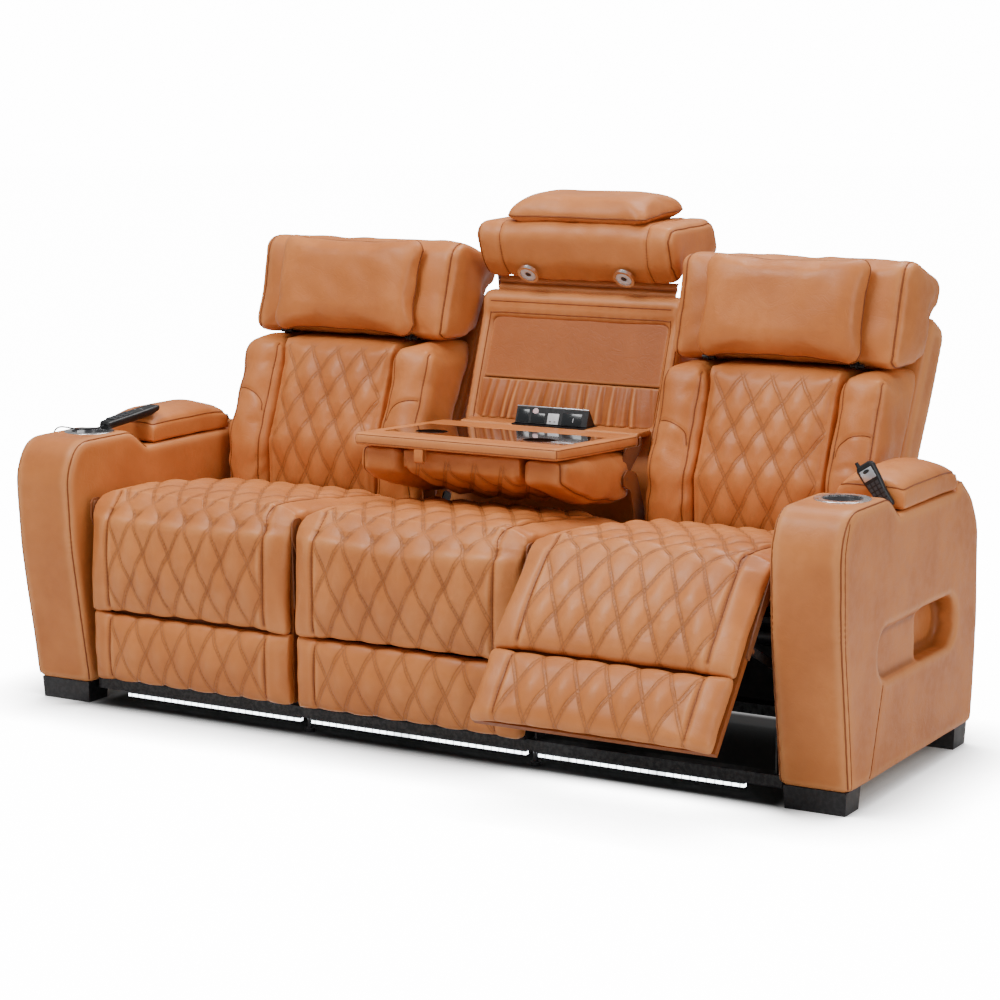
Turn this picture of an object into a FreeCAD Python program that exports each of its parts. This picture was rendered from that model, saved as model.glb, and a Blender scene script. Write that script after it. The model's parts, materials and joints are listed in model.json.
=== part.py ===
import FreeCAD, Part
import math
import os

# Three-seater power sofa, in millimetres: X to the viewer's right, -Y to the front, +Z up.
# Lengths below are measured from the arm's front foot in Y and from the floor in Z.
# Profiles across the sofa are lists of (y, z, corner radius).

# Whole sofa
overall_width = 2180.0
arm_width = 170.0
leg_height = 52.0
seat_gap = 6.0
arm_gap = 14.0
soft_gap = 0.3
running_gap = 0.05
cut_over = 2.0
plate_thickness = 4.0

# Middle section, from the folding table outwards
table_half = 278.0
table_side_gap = 1.7
frame_half = table_half + plate_thickness + table_side_gap
box_panel = 8.0
box_half = frame_half + soft_gap + box_panel
frame_bracket_in = box_half + soft_gap
frame_bracket_out = frame_bracket_in + plate_thickness
middle_margin = 6.7
middle_half_width = frame_bracket_out + middle_margin

# Widths that follow from them
inner_half = overall_width / 2 - arm_width
arm_middle = overall_width / 2 - arm_width / 2
side_inner = middle_half_width + seat_gap
side_outer = inner_half - arm_gap
side_centre = (side_inner + side_outer) / 2
module_half = (side_outer - side_inner) / 2

# Lanes of steel beside each seat, counted inwards from the module's edge
lane_gap = 0.5
plate_margin = 2.0
lane_a_out = module_half - plate_margin
lane_a_in = lane_a_out - plate_thickness
lane_b_out = lane_a_in - lane_gap
lane_b_in = lane_b_out - plate_thickness
lane_c_out = lane_b_in - lane_gap
lane_c_in = lane_c_out - plate_thickness
lane_d_out = lane_c_in - lane_gap
lane_d_in = lane_d_out - plate_thickness

# Legs, rails and light bar
leg_width = 145.0
leg_depth = 78.0
leg_side_inset = 12.5
leg_front_inset = 7.0
leg_taper = 3.0
arm_foot_front = 8.0
arm_foot_rear = 736.0
rail_bottom = 36.0
rail_top = 62.0
front_rail_y = 40.0
front_rail_depth = 36.0
rear_rail_y = 600.0
rear_rail_depth = 36.0
rail_wall = 2.5
light_end_gap = 90.0
light_half_length = inner_half - light_end_gap
light_inset = 1.0
light_height = 13.0
light_depth = 12.0
light_joint = 16.0
glide_radius = 13.0
glide_stem_radius = 6.0
glide_pad = 9.0
rear_panel_top = 230.0
rear_panel_depth = 12.0
rear_panel_round = 4.0

# Hinge of each footrest at the front of its seat, with the rolled edge around it
footrest_y = 22.0
footrest_z = 496.0
roll_radius = 45.0
roll_clearance = 1.5
footrest_open_rest = 39.0
footrest_travel = 88.0

# Front pads, given closed, and the board behind them
pad_front_y = -23.0
pad_back_y = 15.0
crease_z = 243.0
crease_half = 2.0
crease_draw = 9.0
pad_bottom_z = 65.0
pad_nose = 12.0
board_thickness = 16.0
board_bottom_z = 76.0
board_top_z = 446.0
lower_pad_inset_shares = (0.167, 0.333)
quilt_height = 9.0
pad_strip = 62.0

# Seat cushions and the deck under them
deck_top = 398.0
deck_thickness = 13.0
deck_front = 72.0
deck_rear_gap = 6.0
seat_rear = 538.0
middle_seat_rear = 524.0
seat_rear_top = 478.0
seat_rear_shoulder = 16.0
seat_front_top = 541.0
seat_lip_y = 56.0
seat_lip_z = 534.0
seat_quilt_front = 76.0
seat_quilt_rear = 520.0
seat_quilt_rear_z = 489.0
seat_crown = 6.0
seat_side_gap = 7.0
seat_half = module_half - seat_side_gap
seat_lip_drop = 1.0

# Quilting, one diamond
diamond_width = 75.0
diamond_height = 137.0

# Footrest drive: a crank on a cross tube and a push bar, with the board a parallelogram
bar_eye_y = 45.0
bar_eye_z = 330.0
crank_y = 422.0
crank_z = 306.0
eye_radius = 11.0
pin_radius = 5.0
tube_radius = 12.0
journal_radius = 8.0
bar_width = 18.0
bar_round_share = 0.9
crank_margin = 2.0
arm_plate_bottom = 300.0
arm_plate_corner = 4.0
arm_plate_step = 8.0
arm_plate_shoulder = 90.0
arm_lug = 14.0
arm_lug_shares = [(-0.86, 1.0, 0.86), (0.86, 1.0, 0.86), (1.0, -1.43, 0.57)]
tab_half = 16.0
tab_corner = 3.0
eye_round = 6.0

# Side plates of the mechanism
mech_corner = 4.0
mech_front_inset = 6.0
mech_neck_z = 380.0
mech_neck_round = 60.0
mech_nose = 20.0
mech_nose_shares = [(-1.0, -1.3, 1.0), (-1.0, 1.0, 0.8), (0.9, 1.0, 0.7), (1.3, -2.3, 1.0)]
mech_deck_drop = 2.0
mech_deck_front = 110.0
mech_deck_front_round = 40.0
mech_deck_rear = 560.0
mech_deck_rear_round = 30.0
mech_tail = 24.0
mech_tail_shares = [(1.0, 1.17, 0.75), (1.0, -1.0, 0.75)]
mech_heel_z = 240.0
mech_heel_round = 30.0
mech_foot = 20.0
mech_foot_rear = 100.0
mech_arch_round = 40.0
mech_arch_front_y = 160.0
mech_arch_front_z = 200.0
mech_arch_rear_y = 540.0
mech_arch_rear_z = 230.0
mech_slot_low = 265.0
mech_slot_high = 300.0
mech_slot_round = 14.0
mech_slot_shares = [(0.151, 0.3356), (0.3943, 0.5789), (0.7047, 0.8557)]

# Motors and power supply
gear_half = 46.0
gear_front = 30.0
gear_rear = 34.0
gear_drop = 22.0
can_radius = 27.0
can_end = 150.0
drive_can_start = 20.0
drive_can_forward = 52.0
drive_can_rise = 30.0
neck_width = 24.0
neck_front = 60.0
neck_rear = 28.0
neck_low = 12.0
neck_high = 56.0
motor_arm_front = 496.0
motor_arm_depth = 34.0
motor_arm_drop = 60.0
motor_floor_drop = 14.0
motor_floor_gap = 4.0
hub_wall = 8.0
recline_can_start = 30.0
recline_can_y = 545.0
recline_can_drop = 78.0
supply_left = 120.0
supply_right = 60.0
supply_front = 70.0
supply_rear = 26.0
supply_height = 48.0
supply_round = 5.0

# Back of each recliner: slab, recline pivot and travel
slab_foot_y = 614.6
slab_foot_z = 359.9
slab_lean = 27.0
slab_length = 685.0
slab_thickness = 100.0
slab_half = lane_b_in
slab_corner_front_low = 4.0
slab_corner_front_high = 14.0
slab_corner_rear_high = 30.0
slab_corner_rear_low = 20.0
slab_round = 10.0
recline_y = 640.0
recline_z = 325.0
recline_travel = 30.0
recline_tube_radius = 10.0

# Back cushions in front of the slab
back_bottom_z = 440.0
back_top_z = 848.0
back_half = lane_b_in - soft_gap
wing_width = 117.7
back_quilt_half = back_half - wing_width
wing_gap = 0.6
wing_front_y = 537.0
wing_lean = 100.0
wing_outline_shares = [(0.08, 0.0, 0.039), (0.0, 0.196, 0.294), (0.04, 0.4216, 0.2206),
                       (0.51, 0.6765, 0.4902), (1.0, 0.9902, 0.0735)]
wing_tuck = 2.0
wing_corner = 6.0
wing_round = 26.0
back_quilt_y = 563.0
back_quilt_low = 12.0
back_bend_z = 600.0
back_quilt_top_y = 651.0
back_quilt_high = 14.0
back_hem = 9.0
back_top_hem = 13.0
quilt_strip = 18.0

# Steel inside each back
side_plate_length = 150.0
side_plate_shares = [(0.067, 0.14, 0.06), (1.0, 0.14, 0.1), (1.0, 0.6, 0.1), (0.133, 0.66, 0.1)]
side_plate_lug = 14.0
side_plate_lug_shares = [(1.0, -1.0, 0.857), (-1.0, -0.857, 0.857)]

# Head cushions
headrest_y = 700.0
headrest_z = 868.0
headrest_travel = 28.0
headrest_side_gap = 4.5
headrest_half = module_half - headrest_side_gap
headrest_round = 24.0
headrest_nose = 11.0
headrest_depth = 289.0
headrest_rise = 257.0
headrest_shares = [(0.5848, 0.0584, 0.0467), (0.3841, 0.0, 0.0778), (0.0796, 0.0019, 0.0623),
                   (0.0, 0.0661, 0.0545), (0.0242, 0.1673, 0.1167), (0.2353, 0.9533, 0.1556),
                   (0.3841, 1.0, 0.1946), (0.9031, 0.8054, 0.1556), (1.0, 0.6965, 0.0778),
                   (0.9308, 0.5175, 0.0778), (0.8131, 0.4669, 0.0233)]
head_strap_inset = 106.0
strap_in = headrest_half - head_strap_inset
strap_out = strap_in + plate_thickness
strap_foot_low = 553.0
strap_foot_high = 589.0
strap_foot_deep = 50.0
strap_foot_corner = 3.0
strap_nose = 8.0
strap_nose_round = 7.0
strap_reach = 60.0
strap_bend = 14.0
strap_bend_round = 20.0
pin_reach = 14.0
slot_gap = 1.0
slot_front = 25.0
slot_rear = 215.0
slot_drop = 35.0
slot_rise = 17.0
slot_fall = 6.0
pillow_side_inset = 84.0
pillow_width = 2 * (headrest_half - pillow_side_inset)
pillow_height = 252.0
pillow_corner = 34.0
pillow_draw = 7.0
pillow_front = 46.0
pillow_back = 14.0
pillow_ahead = 7.0
pillow_above = 125.5
pillow_lean_run = 68.0
pillow_lean_rise = 247.0

# Middle head cushion, drawn closed and shown raised
middle_hinge_y = 905.0
middle_hinge_z = 925.0
middle_raise = 70.0
middle_head_over = 1.3
middle_head_half = frame_half + middle_head_over
middle_head_y = 640.0
middle_head_z = 860.0
middle_head_depth = 176.0
middle_head_rise = 281.0
middle_head_shares = [(0.8636, 0.0854, 0.0285), (0.5568, 0.0, 0.0356), (0.1364, 0.0142, 0.0569),
                      (0.0, 0.1139, 0.0712), (0.4034, 0.8968, 0.1068), (0.5341, 0.9822, 0.0569),
                      (0.8239, 1.0, 0.0712), (1.0, 0.9573, 0.0498), (0.7443, 0.3132, 0.2135)]
head_arm_y = 771.0
head_arm_top = 990.0
head_arm_low = 938.0
head_arm_round = 6.0
head_arm_lug = 12.0
head_arm_lug_shares = [(-0.5, -1.083, 0.833), (1.0, -0.667, 0.833), (0.833, 1.0, 0.833)]
arm_side_gap = 2.5
middle_pillow_y = 660.3
middle_pillow_z = 1013.0
middle_pillow_rise = 240.0
lamp_radius = 28.05
lamp_rim = 7.0
lamp_depth = 9.0
lamp_well = 3.0
lamp_inset = 150.0
lamp_place = middle_head_half - lamp_inset

# Middle frame with the recess, shelf and outlet
recess_side = 33.7
recess_half = frame_half - recess_side
recess_inset = 12.0
recess_foot_y = 711.0
recess_foot_z = 620.0
recess_foot_round = 60.0
recess_head_y = 822.0
recess_head_z = 934.0
recess_head_round = 20.0
recess_reach = 60.0
roll_depth = 74.0
roll_rise = 56.0
roll_shares = [(0.0, 0.911, 0.464), (0.757, 1.0, 0.464), (1.0, 0.5, 0.286)]
frame_tuck_y = 4.0
frame_tuck_z = 6.0
frame_corner = 10.0
frame_foot_corner = 6.0
arm_slot_outer = 14.7
arm_slot_width = 9.0
arm_slot_out = frame_half - arm_slot_outer
arm_slot_in = arm_slot_out - arm_slot_width
arm_slot_front = 700.0
arm_slot_rear = 938.0
arm_slot_low = 880.0
arm_slot_top = 1100.0
recess_bottom = 772.0
recess_top = 926.0
panel_thickness = 8.0
shelf_top = 676.0
shelf_thickness = 14.0
shelf_front = 659.0
shelf_round = 4.0
shelf_edge = 2.0
outlet_half = 104.0
outlet_front = 664.0
outlet_rear = 727.0
outlet_wall = 3.0
outlet_depth = 46.0
outlet_rim = 1.0
flap_hinge_y = 717.0
flap_foot_y = 675.0
flap_apex_y = 690.0
flap_rise = 41.5
flap_seat = 1.5
flap_edge = 3.0
flap_heel = 4.0
flap_round = 2.0
flap_corner = 1.0
flap_side_gap = 0.5
flap_end = 0.5
flap_drop = 4.0
flap_pin = 2.0
flap_travel = 46.0
pleats = 14
pleat_depth = 6.0

# Folding table, shown down
table_hinge_y = 515.0
table_hinge_z = 588.0
table_front_y = 210.0
table_front_z = 698.0
table_rear_y = 622.0
table_rear_z = 680.0
table_thickness = 30.0
table_travel = 107.5
table_round = 9.0
table_end_round = 8.0
insert_front = 84.0
insert_depth = 215.0
insert_side = 33.0
insert_half = table_half - insert_side
insert_thickness = 4.0
insert_drop = 0.6
cup_well_radius = 40.0
cup_well_depth = 18.0
cup_well_inset = 98.0
cup_well_place = insert_half - cup_well_inset
cup_well_back = 62.0
cup_wall = 1.5
bracket_shares = [(0.8, 0.867, 0.333), (0.975, 0.867, 0.2), (0.975, 0.133, 0.133), (0.989, 0.133, 0.067),
                  (0.989, 1.133, 0.267)]
bracket_lug = 16.0
bracket_lug_front_shares = [(-0.875, 0.375, 0.5)]
bracket_lug_rear_shares = [(1.0, -0.625, 0.75), (-0.5, -0.875, 0.625)]
post_front_y = 552.0
post_rear_y = 608.0
post_foot_z = 330.0
post_foot_round = 6.0
post_waist_z = 500.0
post_waist_round = 30.0
post_shoulder_y = 566.0
post_shoulder_z = 596.0
post_lug = 22.0
post_lug_shares = [(0.182, 1.0, 0.636), (-0.727, 0.364, 0.545), (-0.636, -0.727, 0.545), (0.909, -1.364, 0.909)]

# Cushion under the table and the strap that pulls it down
bolster_width = 110.0
hang_front = 24.0
hang_rear = 372.0
hang_nose_y = 236.0
hang_nose_z = 622.0
hang_bend_y = 430.0
hang_bend_z = 556.0
hang_heel_y = 566.0
hang_heel_z = 562.0
hang_back_y = 578.0
hang_back_z = 600.0
bolster_y = 232.0
bolster_z = 535.0
bolster_depth = 352.0
bolster_rise = 77.0
bolster_shares = [(1.0, 0.8442, 0.26), (0.9716, 0.0649, 0.26), (0.7614, 0.0, 0.779), (0.3636, 0.3247, 1.558),
                  (0.0, 1.0, 0.234)]
bolster_corner = 4.0
bolster_round = 20.0
strap_inset = 3.0
strap_depth = 16.0
strap_drop = 32.0
strap_thick = 3.0
strap_width = 24.0
strap_round = 6.0
strap_side = 170.0
strap_left = strap_side - table_half

# Arms
arm_nose_y = -60.0
arm_depth = 816.0
arm_top = 658.0
arm_foot_round = 10.0
arm_front_shares = [(0.0123, 0.6079, 1.0638), (0.0, 0.8739, 0.1824), (0.0466, 0.9985, 0.1125),
                    (0.3137, 1.0, 0.0912)]
arm_step_share = 0.3897
arm_step_round = 14.0
arm_shoulder_share = 0.8554
arm_rear_shares = [(0.9363, 0.8936, 0.076), (0.9902, 0.7903, 0.1368), (1.0, 0.4605, 0.4559)]
core_round = 10.0
core_step_share = 0.3824
core_shoulder_share = 0.8333
core_front_shares = [(0.0123, 0.6079, 0.304, 1.0, 0.0), (0.0049, 0.8739, 0.0608, 1.0, 0.0),
                     (0.0515, 0.9985, 0.0608, 1.0, -1.0), (0.3064, 0.9985, 0.0304, 0.0, -1.0)]
core_rear_shares = [(0.9191, 0.8663, 0.0304, -0.5, -0.5), (0.9853, 0.7599, 0.0608, -1.0, 0.0),
                    (0.9951, 0.4605, 0.152, -1.0, 0.0)]
arm_round = 13.0
lid_front = 283.0
lid_rear = 611.0
lid_bottom = 612.0
lid_edge_top = 681.0
lid_rear_top = 672.0
lid_hinge_y = 617.0
lid_hinge_z = 643.0
lid_travel = 72.0
lid_side_gap = 2.0
lid_step_top = 636.0
lid_step_round = 3.0
lid_step_edge = 1.0
lid_step_rear_round = 12.0
lid_seat_margin = 20.0
lid_seat_gap = 1.5
lid_crown_z = 693.0
lid_nose = 14.0
lid_rise = 70.0
lid_fall = 90.0
lid_foot_share = 0.3
lid_crown_shares = [(0.0, 0.56), (0.1, 0.78), (0.28, 0.95), (0.5, 1.0), (0.72, 0.95), (0.9, 0.78),
                    (1.0, 0.56)]
lid_knuckle = 5.0
ear_inset = 16.0
ear_width = 8.0
ear_drop = 7.0
ear_front_gap = 0.8
ear_reach = 12.0
ear_front_round = 3.0
ear_rear_round = 4.0
lid_pin_radius = 3.0
arm_wall = 20.0
frame_wall = 18.0
cup_y = 133.0
cup_radius = 44.0
cup_rim_radius = 62.0
cup_depth = 88.0
cup_steel = 1.2
cup_rim_height = 3.0
cup_seat_drop = 2.0
arm_cup_top = arm_top - cup_seat_drop
rim_share = 0.6
bin_front = 305.0
bin_rear = 585.0
bin_side = 33.0
bin_half = arm_width / 2 - bin_side
bin_depth = 130.0
bin_wall = 3.0
pocket_front = 148.0
pocket_rear = 611.0
pocket_low = 260.0
pocket_high = 380.0
pocket_shallow = 14.0
pocket_deep = 56.0
pocket_step = 395.0
pocket_liner = 6.0

# Hand controls
remote_length = 172.0
remote_width = 46.0
remote_thickness = 21.0
remote_inset = 20.0
remote_y = 165.0
remote_z = 668.6
remote_lean_shares = (36.0, 164.0, 28.8)
remote_rows = 4
key_side_gap = 3.0
key_height = 2.6
key_length = 14.0
key_width = 9.0
key_pitch = 17.0
handset_length = 108.0
handset_width = 46.0
handset_thickness = 17.5
handset_lean = 33.0
handset_outset = 47.0
stub_inset = 3.0
cord_radius = 2.0
handset_y = 273.9
handset_z = 621.3
handset_rows = 5
handset_pitch = 10.5
handset_key = 7.5
stub_radius = 6.0
stub_length = 20.0
stub_bury = 10.0
grommet_radius = 8.0
grommet_y = 116.0
grommet_z = 560.0
grommet_depth = 10.0


def vec(x, y, z):
    return FreeCAD.Vector(x, y, z)


def box(x0, x1, y0, y1, z0, z1):
    return Part.makeBox(x1 - x0, y1 - y0, z1 - z0, vec(x0, y0, z0))


def rod(x0, x1, y, z, radius):
    return Part.makeCylinder(radius, x1 - x0, vec(x0, y, z), vec(1, 0, 0))


def post(x, y, z0, z1, radius):
    return Part.makeCylinder(radius, z1 - z0, vec(x, y, z0), vec(0, 0, 1))


def turned(shape, y, z, degrees):
    # a positive turn takes +Y towards +Z
    copy = shape.copy()
    copy.rotate(vec(0, y, z), vec(1, 0, 0), degrees)
    return copy


def moved(shape, x=0.0, y=0.0, z=0.0):
    copy = shape.copy()
    copy.translate(vec(x, y, z))
    return copy


def turned_point(point, y, z, degrees):
    angle = math.radians(degrees)
    dy = point[0] - y
    dz = point[1] - z
    return (y + dy * math.cos(angle) - dz * math.sin(angle),
            z + dy * math.sin(angle) + dz * math.cos(angle))


def mirrored(shape):
    return shape.mirror(vec(0, 0, 0), vec(1, 0, 0))


def outline(shares, y, z, depth, height):
    # (y, z, radius) corners from shares of a depth and a height, the radius of the height
    return [(y + a * depth, z + b * height, r * height) for a, b, r in shares]


def lobe(shares, y, z, size):
    # corners of a plate round an eye at (y, z)
    return outline(shares, y, z, size, size)


def rounded_wire(corners, x=0.0, shrink=1.0, centre=(0.0, 0.0)):
    # straight runs and tangent arcs through corners of (y, z, radius)
    points = []
    for y, z, radius in corners:
        points.append((centre[0] + (y - centre[0]) * shrink,
                       centre[1] + (z - centre[1]) * shrink, radius * shrink))
    count = len(points)
    cuts = []
    for i in range(count):
        before = points[i - 1]
        here = points[i]
        after = points[(i + 1) % count]
        back = (before[0] - here[0], before[1] - here[1])
        ahead = (after[0] - here[0], after[1] - here[1])
        len_back = math.hypot(*back)
        len_ahead = math.hypot(*ahead)
        back = (back[0] / len_back, back[1] / len_back)
        ahead = (ahead[0] / len_ahead, ahead[1] / len_ahead)
        cosine = max(-1.0, min(1.0, back[0] * ahead[0] + back[1] * ahead[1]))
        half = math.acos(cosine) / 2
        reach = min(here[2] / math.tan(half), corner_share * min(len_back, len_ahead))
        if here[2] <= 0:
            cuts.append((here, None, here))
            continue
        start = (here[0] + back[0] * reach, here[1] + back[1] * reach)
        end = (here[0] + ahead[0] * reach, here[1] + ahead[1] * reach)
        radius = reach * math.tan(half)
        middle = (back[0] + ahead[0], back[1] + ahead[1])
        length = math.hypot(*middle)
        away = radius / math.sin(half) - radius
        mid = (here[0] + middle[0] / length * away, here[1] + middle[1] / length * away)
        cuts.append((start, mid, end))
    edges = []
    for i in range(count):
        start, mid, end = cuts[i]
        if mid is not None:
            edges.append(Part.Arc(vec(x, *start), vec(x, *mid), vec(x, *end)).toShape())
        following = cuts[(i + 1) % count][0]
        if math.hypot(following[0] - end[0], following[1] - end[1]) > tiny:
            edges.append(Part.LineSegment(vec(x, *end[:2]), vec(x, *following[:2])).toShape())
    return Part.Wire(edges)


corner_share = 0.48
tiny = 0.001


def prism(corners, x0, x1):
    face = Part.Face(rounded_wire(corners, x0))
    return face.extrude(vec(x1 - x0, 0, 0))


def crowned_prism(corners, x0, x1, round_over):
    # a prism whose ends are rounded over by sections that shrink towards the middle
    ys = [c[0] for c in corners]
    zs = [c[1] for c in corners]
    centre = ((min(ys) + max(ys)) / 2, (min(zs) + max(zs)) / 2)
    reach = min(max(ys) - min(ys), max(zs) - min(zs)) / 2
    wires = []
    for along, inset in end_round_shares:
        wires.append(rounded_wire(corners, x0 + along * round_over,
                                  1 - inset * round_over / reach, centre))
    for along, inset in reversed(end_round_shares):
        wires.append(rounded_wire(corners, x1 - along * round_over,
                                  1 - inset * round_over / reach, centre))
    return Part.makeLoft(wires, True, True)


end_round_shares = [(0.0, 0.75), (0.15, 0.38), (0.5, 0.1), (1.0, 0.0)]


def planar_faces(loops):
    faces = []
    for loop in loops:
        points = [vec(*p) for p in loop]
        faces.append(Part.Face(Part.makePolygon(points + [points[0]])))
    return faces


def closed_solid(loops):
    shell = Part.makeShell(planar_faces(loops))
    shell.sewShape()
    solid = Part.Solid(shell)
    if solid.Volume < 0:
        solid.reverse()
    return solid


def columns_of(x0, x1, strip):
    # edge, strip, then half diamonds across the quilting
    quilted = (x1 - x0) - 2 * strip
    halves = 2 * max(1, round(quilted / diamond_width))
    step = quilted / halves
    inner = [x0 + strip + step * i for i in range(halves + 1)]
    edge = strip * edge_share
    return [x0, x0 + edge] + inner + [x1 - edge, x1]


edge_share = 0.35


def quilted_body(loop, first, last, x0, x1, strip, height, crown):
    # loop: (y, z) round the body; rows first..last of it carry the diamonds,
    # whose seams stay at the loop and whose middles stand proud of it
    columns = columns_of(x0, x1, strip)
    count = len(columns)
    normals = []
    for j in range(first, last + 1):
        y0, z0 = loop[j - 1]
        y1, z1 = loop[(j + 1) % len(loop)]
        length = math.hypot(y1 - y0, z1 - z0)
        normals.append((-(z1 - z0) / length, (y1 - y0) / length))
    rows = []
    for j in range(first, last + 1):
        y, z = loop[j]
        along = (j - first) / (last - first)
        fade = 1 - (2 * along - 1) ** 4
        row = []
        for i, x in enumerate(columns):
            if j in (first, last) or i in (0, count - 1):
                lift = 0.0
            elif i in (1, count - 2):
                lift = height * strip_share
            elif i in (2, count - 3):
                lift = 0.0
            else:
                lift = height if (i + j - first) % 2 else 0.0
            side = 2 * (x - x0) / (x1 - x0) - 1
            lift += crown * fade * (1 - side * side)
            ny, nz = normals[j - first]
            row.append((x, y + ny * lift, z + nz * lift))
        rows.append(row)
    loops = []
    for j in range(last - first):
        for i in range(count - 1):
            a = rows[j][i]
            b = rows[j][i + 1]
            c = rows[j + 1][i + 1]
            d = rows[j + 1][i]
            if (i + j) % 2:
                loops += [[a, b, c], [a, c, d]]
            else:
                loops += [[a, b, d], [b, c, d]]
    top = len(loop)
    for j in range(last, first + top):
        here = loop[j % top]
        after = loop[(j + 1) % top]
        start = rows[-1] if j == last else [(x0,) + here, (x1,) + here]
        end = rows[0] if (j + 1) % top == first else [(x0,) + after, (x1,) + after]
        loops.append(start + list(reversed(end)))
    loops.append([(x0,) + p for p in loop])
    loops.append([(x1,) + p for p in loop])
    return closed_solid(loops)


strip_share = 0.55


def row_points(start, end, length):
    # evenly spaced half diamonds from start to end
    run = math.hypot(end[0] - start[0], end[1] - start[1])
    count = max(2, round(run / length))
    points = []
    for i in range(count + 1):
        t = i / count
        points.append((start[0] + (end[0] - start[0]) * t, start[1] + (end[1] - start[1]) * t))
    return points


# Arms

def arm_corners():
    step = lid_rear + lid_seat_gap
    front = outline(arm_front_shares, arm_nose_y, 0.0, arm_depth, arm_top)
    rear = outline(arm_rear_shares, arm_nose_y, 0.0, arm_depth, arm_top)
    seat = [(arm_nose_y + arm_step_share * arm_depth, lid_bottom, arm_step_round),
            (step, lid_bottom, lid_step_round), (step, lid_step_top, lid_step_edge),
            (arm_nose_y + arm_shoulder_share * arm_depth, lid_step_top, lid_step_rear_round)]
    return ([(arm_foot_front, leg_height, arm_foot_round)] + front + seat + rear
            + [(arm_foot_rear, leg_height, arm_foot_round)])


def arm_core_corners(inset):
    # the arm's outline drawn in by a wall
    top = lid_bottom - inset
    front, rear = [[(arm_nose_y + a * arm_depth + p * inset, b * arm_top + q * inset, r * arm_top)
                    for a, b, r, p, q in shares] for shares in (core_front_shares, core_rear_shares)]
    seat = [(arm_nose_y + core_step_share * arm_depth - inset / 2, top, core_round),
            (arm_nose_y + core_shoulder_share * arm_depth, top, core_round)]
    return ([(arm_foot_front + inset, leg_height, 0.0)] + front + seat + rear
            + [(arm_foot_rear - inset, leg_height, 0.0)])


def stadium(x0, x1, grow):
    y0 = pocket_front - grow
    y1 = pocket_rear + grow
    z0 = pocket_low - grow
    z1 = pocket_high + grow
    radius = (z1 - z0) / 2 * stadium_share
    return prism([(y0, z0, radius), (y0, z1, radius), (y1, z1, radius), (y1, z0, radius)], x0, x1)


stadium_share = 0.9


def arm_pocket(grow, x_face):
    # the long hollow in the outer side: shallow at the front, deep at the rear
    inner = x_face - pocket_deep - grow
    deep = stadium(inner, x_face + cut_over, grow)
    deep = deep.cut(box(inner - cut_over, x_face - pocket_shallow - grow, pocket_front - cut_over - grow,
                        pocket_step - grow, pocket_low - cut_over - grow,
                        pocket_high + cut_over + grow))
    return deep


def arm_parts():
    x0 = inner_half
    x1 = overall_width / 2
    middle = (x0 + x1) / 2
    outer = crowned_prism(arm_corners(), x0, x1, arm_round)
    core = prism(arm_core_corners(arm_wall), x0 + arm_wall, x1 - arm_wall)
    cover = outer.cut(core)
    liner = arm_pocket(pocket_liner, x1)
    liner = liner.common(box(x0 + arm_wall, x1 - arm_wall / 2, 0, pocket_rear + arm_wall, 0,
                             pocket_high + arm_wall))
    cover = cover.fuse(liner).cut(arm_pocket(0.0, x1))
    well = post(middle, cup_y, arm_cup_top - cup_depth - arm_wall, arm_cup_top + arm_wall,
                cup_radius + cup_steel + soft_gap)
    hole = box(middle - bin_half - soft_gap, middle + bin_half + soft_gap, bin_front - soft_gap,
               bin_rear + soft_gap, lid_bottom - bin_depth - arm_wall, lid_bottom + cut_over)
    cover = cover.cut(well).cut(hole)
    seat = post(middle, cup_y, arm_cup_top, arm_cup_top + arm_wall, cup_rim_radius + soft_gap)
    cover = cover.cut(seat)
    # a square seat for the lid, across the rounded edges too
    cover = cover.cut(box(x0 - cut_over, x1 + cut_over, lid_front - lid_seat_margin, lid_rear + lid_seat_gap,
                          lid_bottom, arm_cup_top + arm_wall))
    # the timber box inside, with the same openings
    frame = prism(arm_core_corners(arm_wall + soft_gap), x0 + arm_wall + soft_gap, x1 - arm_wall - soft_gap)
    hollow = prism(arm_core_corners(arm_wall + frame_wall), x0 + arm_wall + frame_wall,
                   x1 - arm_wall - frame_wall)
    frame = frame.cut(hollow)
    frame = frame.cut(well).cut(hole)
    frame = frame.cut(arm_pocket(pocket_liner + soft_gap, x1))
    rail = box(x0 + arm_wall + frame_wall, x1 - arm_wall - frame_wall, arm_foot_front + leg_depth,
               arm_foot_rear - leg_depth, leg_height, leg_height + frame_wall)
    foot = box(x0 + arm_wall + soft_gap, x1 - arm_wall - soft_gap, arm_foot_front + arm_wall + soft_gap,
               arm_foot_rear - arm_wall - soft_gap, leg_height, leg_height + frame_wall)
    frame = frame.fuse(foot).fuse(rail)
    # cup and bin
    top = arm_cup_top + cup_rim_height
    cup = post(middle, cup_y, top - cup_depth, top - cup_rim_height / 2, cup_radius + cup_steel)
    cup = cup.fuse(post(middle, cup_y, arm_cup_top + soft_gap, top, cup_rim_radius))
    cup = cup.cut(post(middle, cup_y, top - cup_depth + cup_steel, top + cut_over, cup_radius))
    outer_rim = [e for e in cup.Edges
                 if e.BoundBox.ZMin > top - tiny and e.BoundBox.XLength > 2 * cup_radius + cup_steel]
    cup = cup.makeFillet(cup_rim_height * rim_share, outer_rim)
    tray = box(middle - bin_half, middle + bin_half, bin_front, bin_rear, lid_bottom - bin_depth,
               lid_bottom - bin_wall / 2)
    tray = tray.cut(box(middle - bin_half + bin_wall, middle + bin_half - bin_wall, bin_front + bin_wall,
                        bin_rear - bin_wall, lid_bottom - bin_depth + bin_wall, lid_bottom + cut_over))
    return cover, frame, cup, tray


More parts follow.
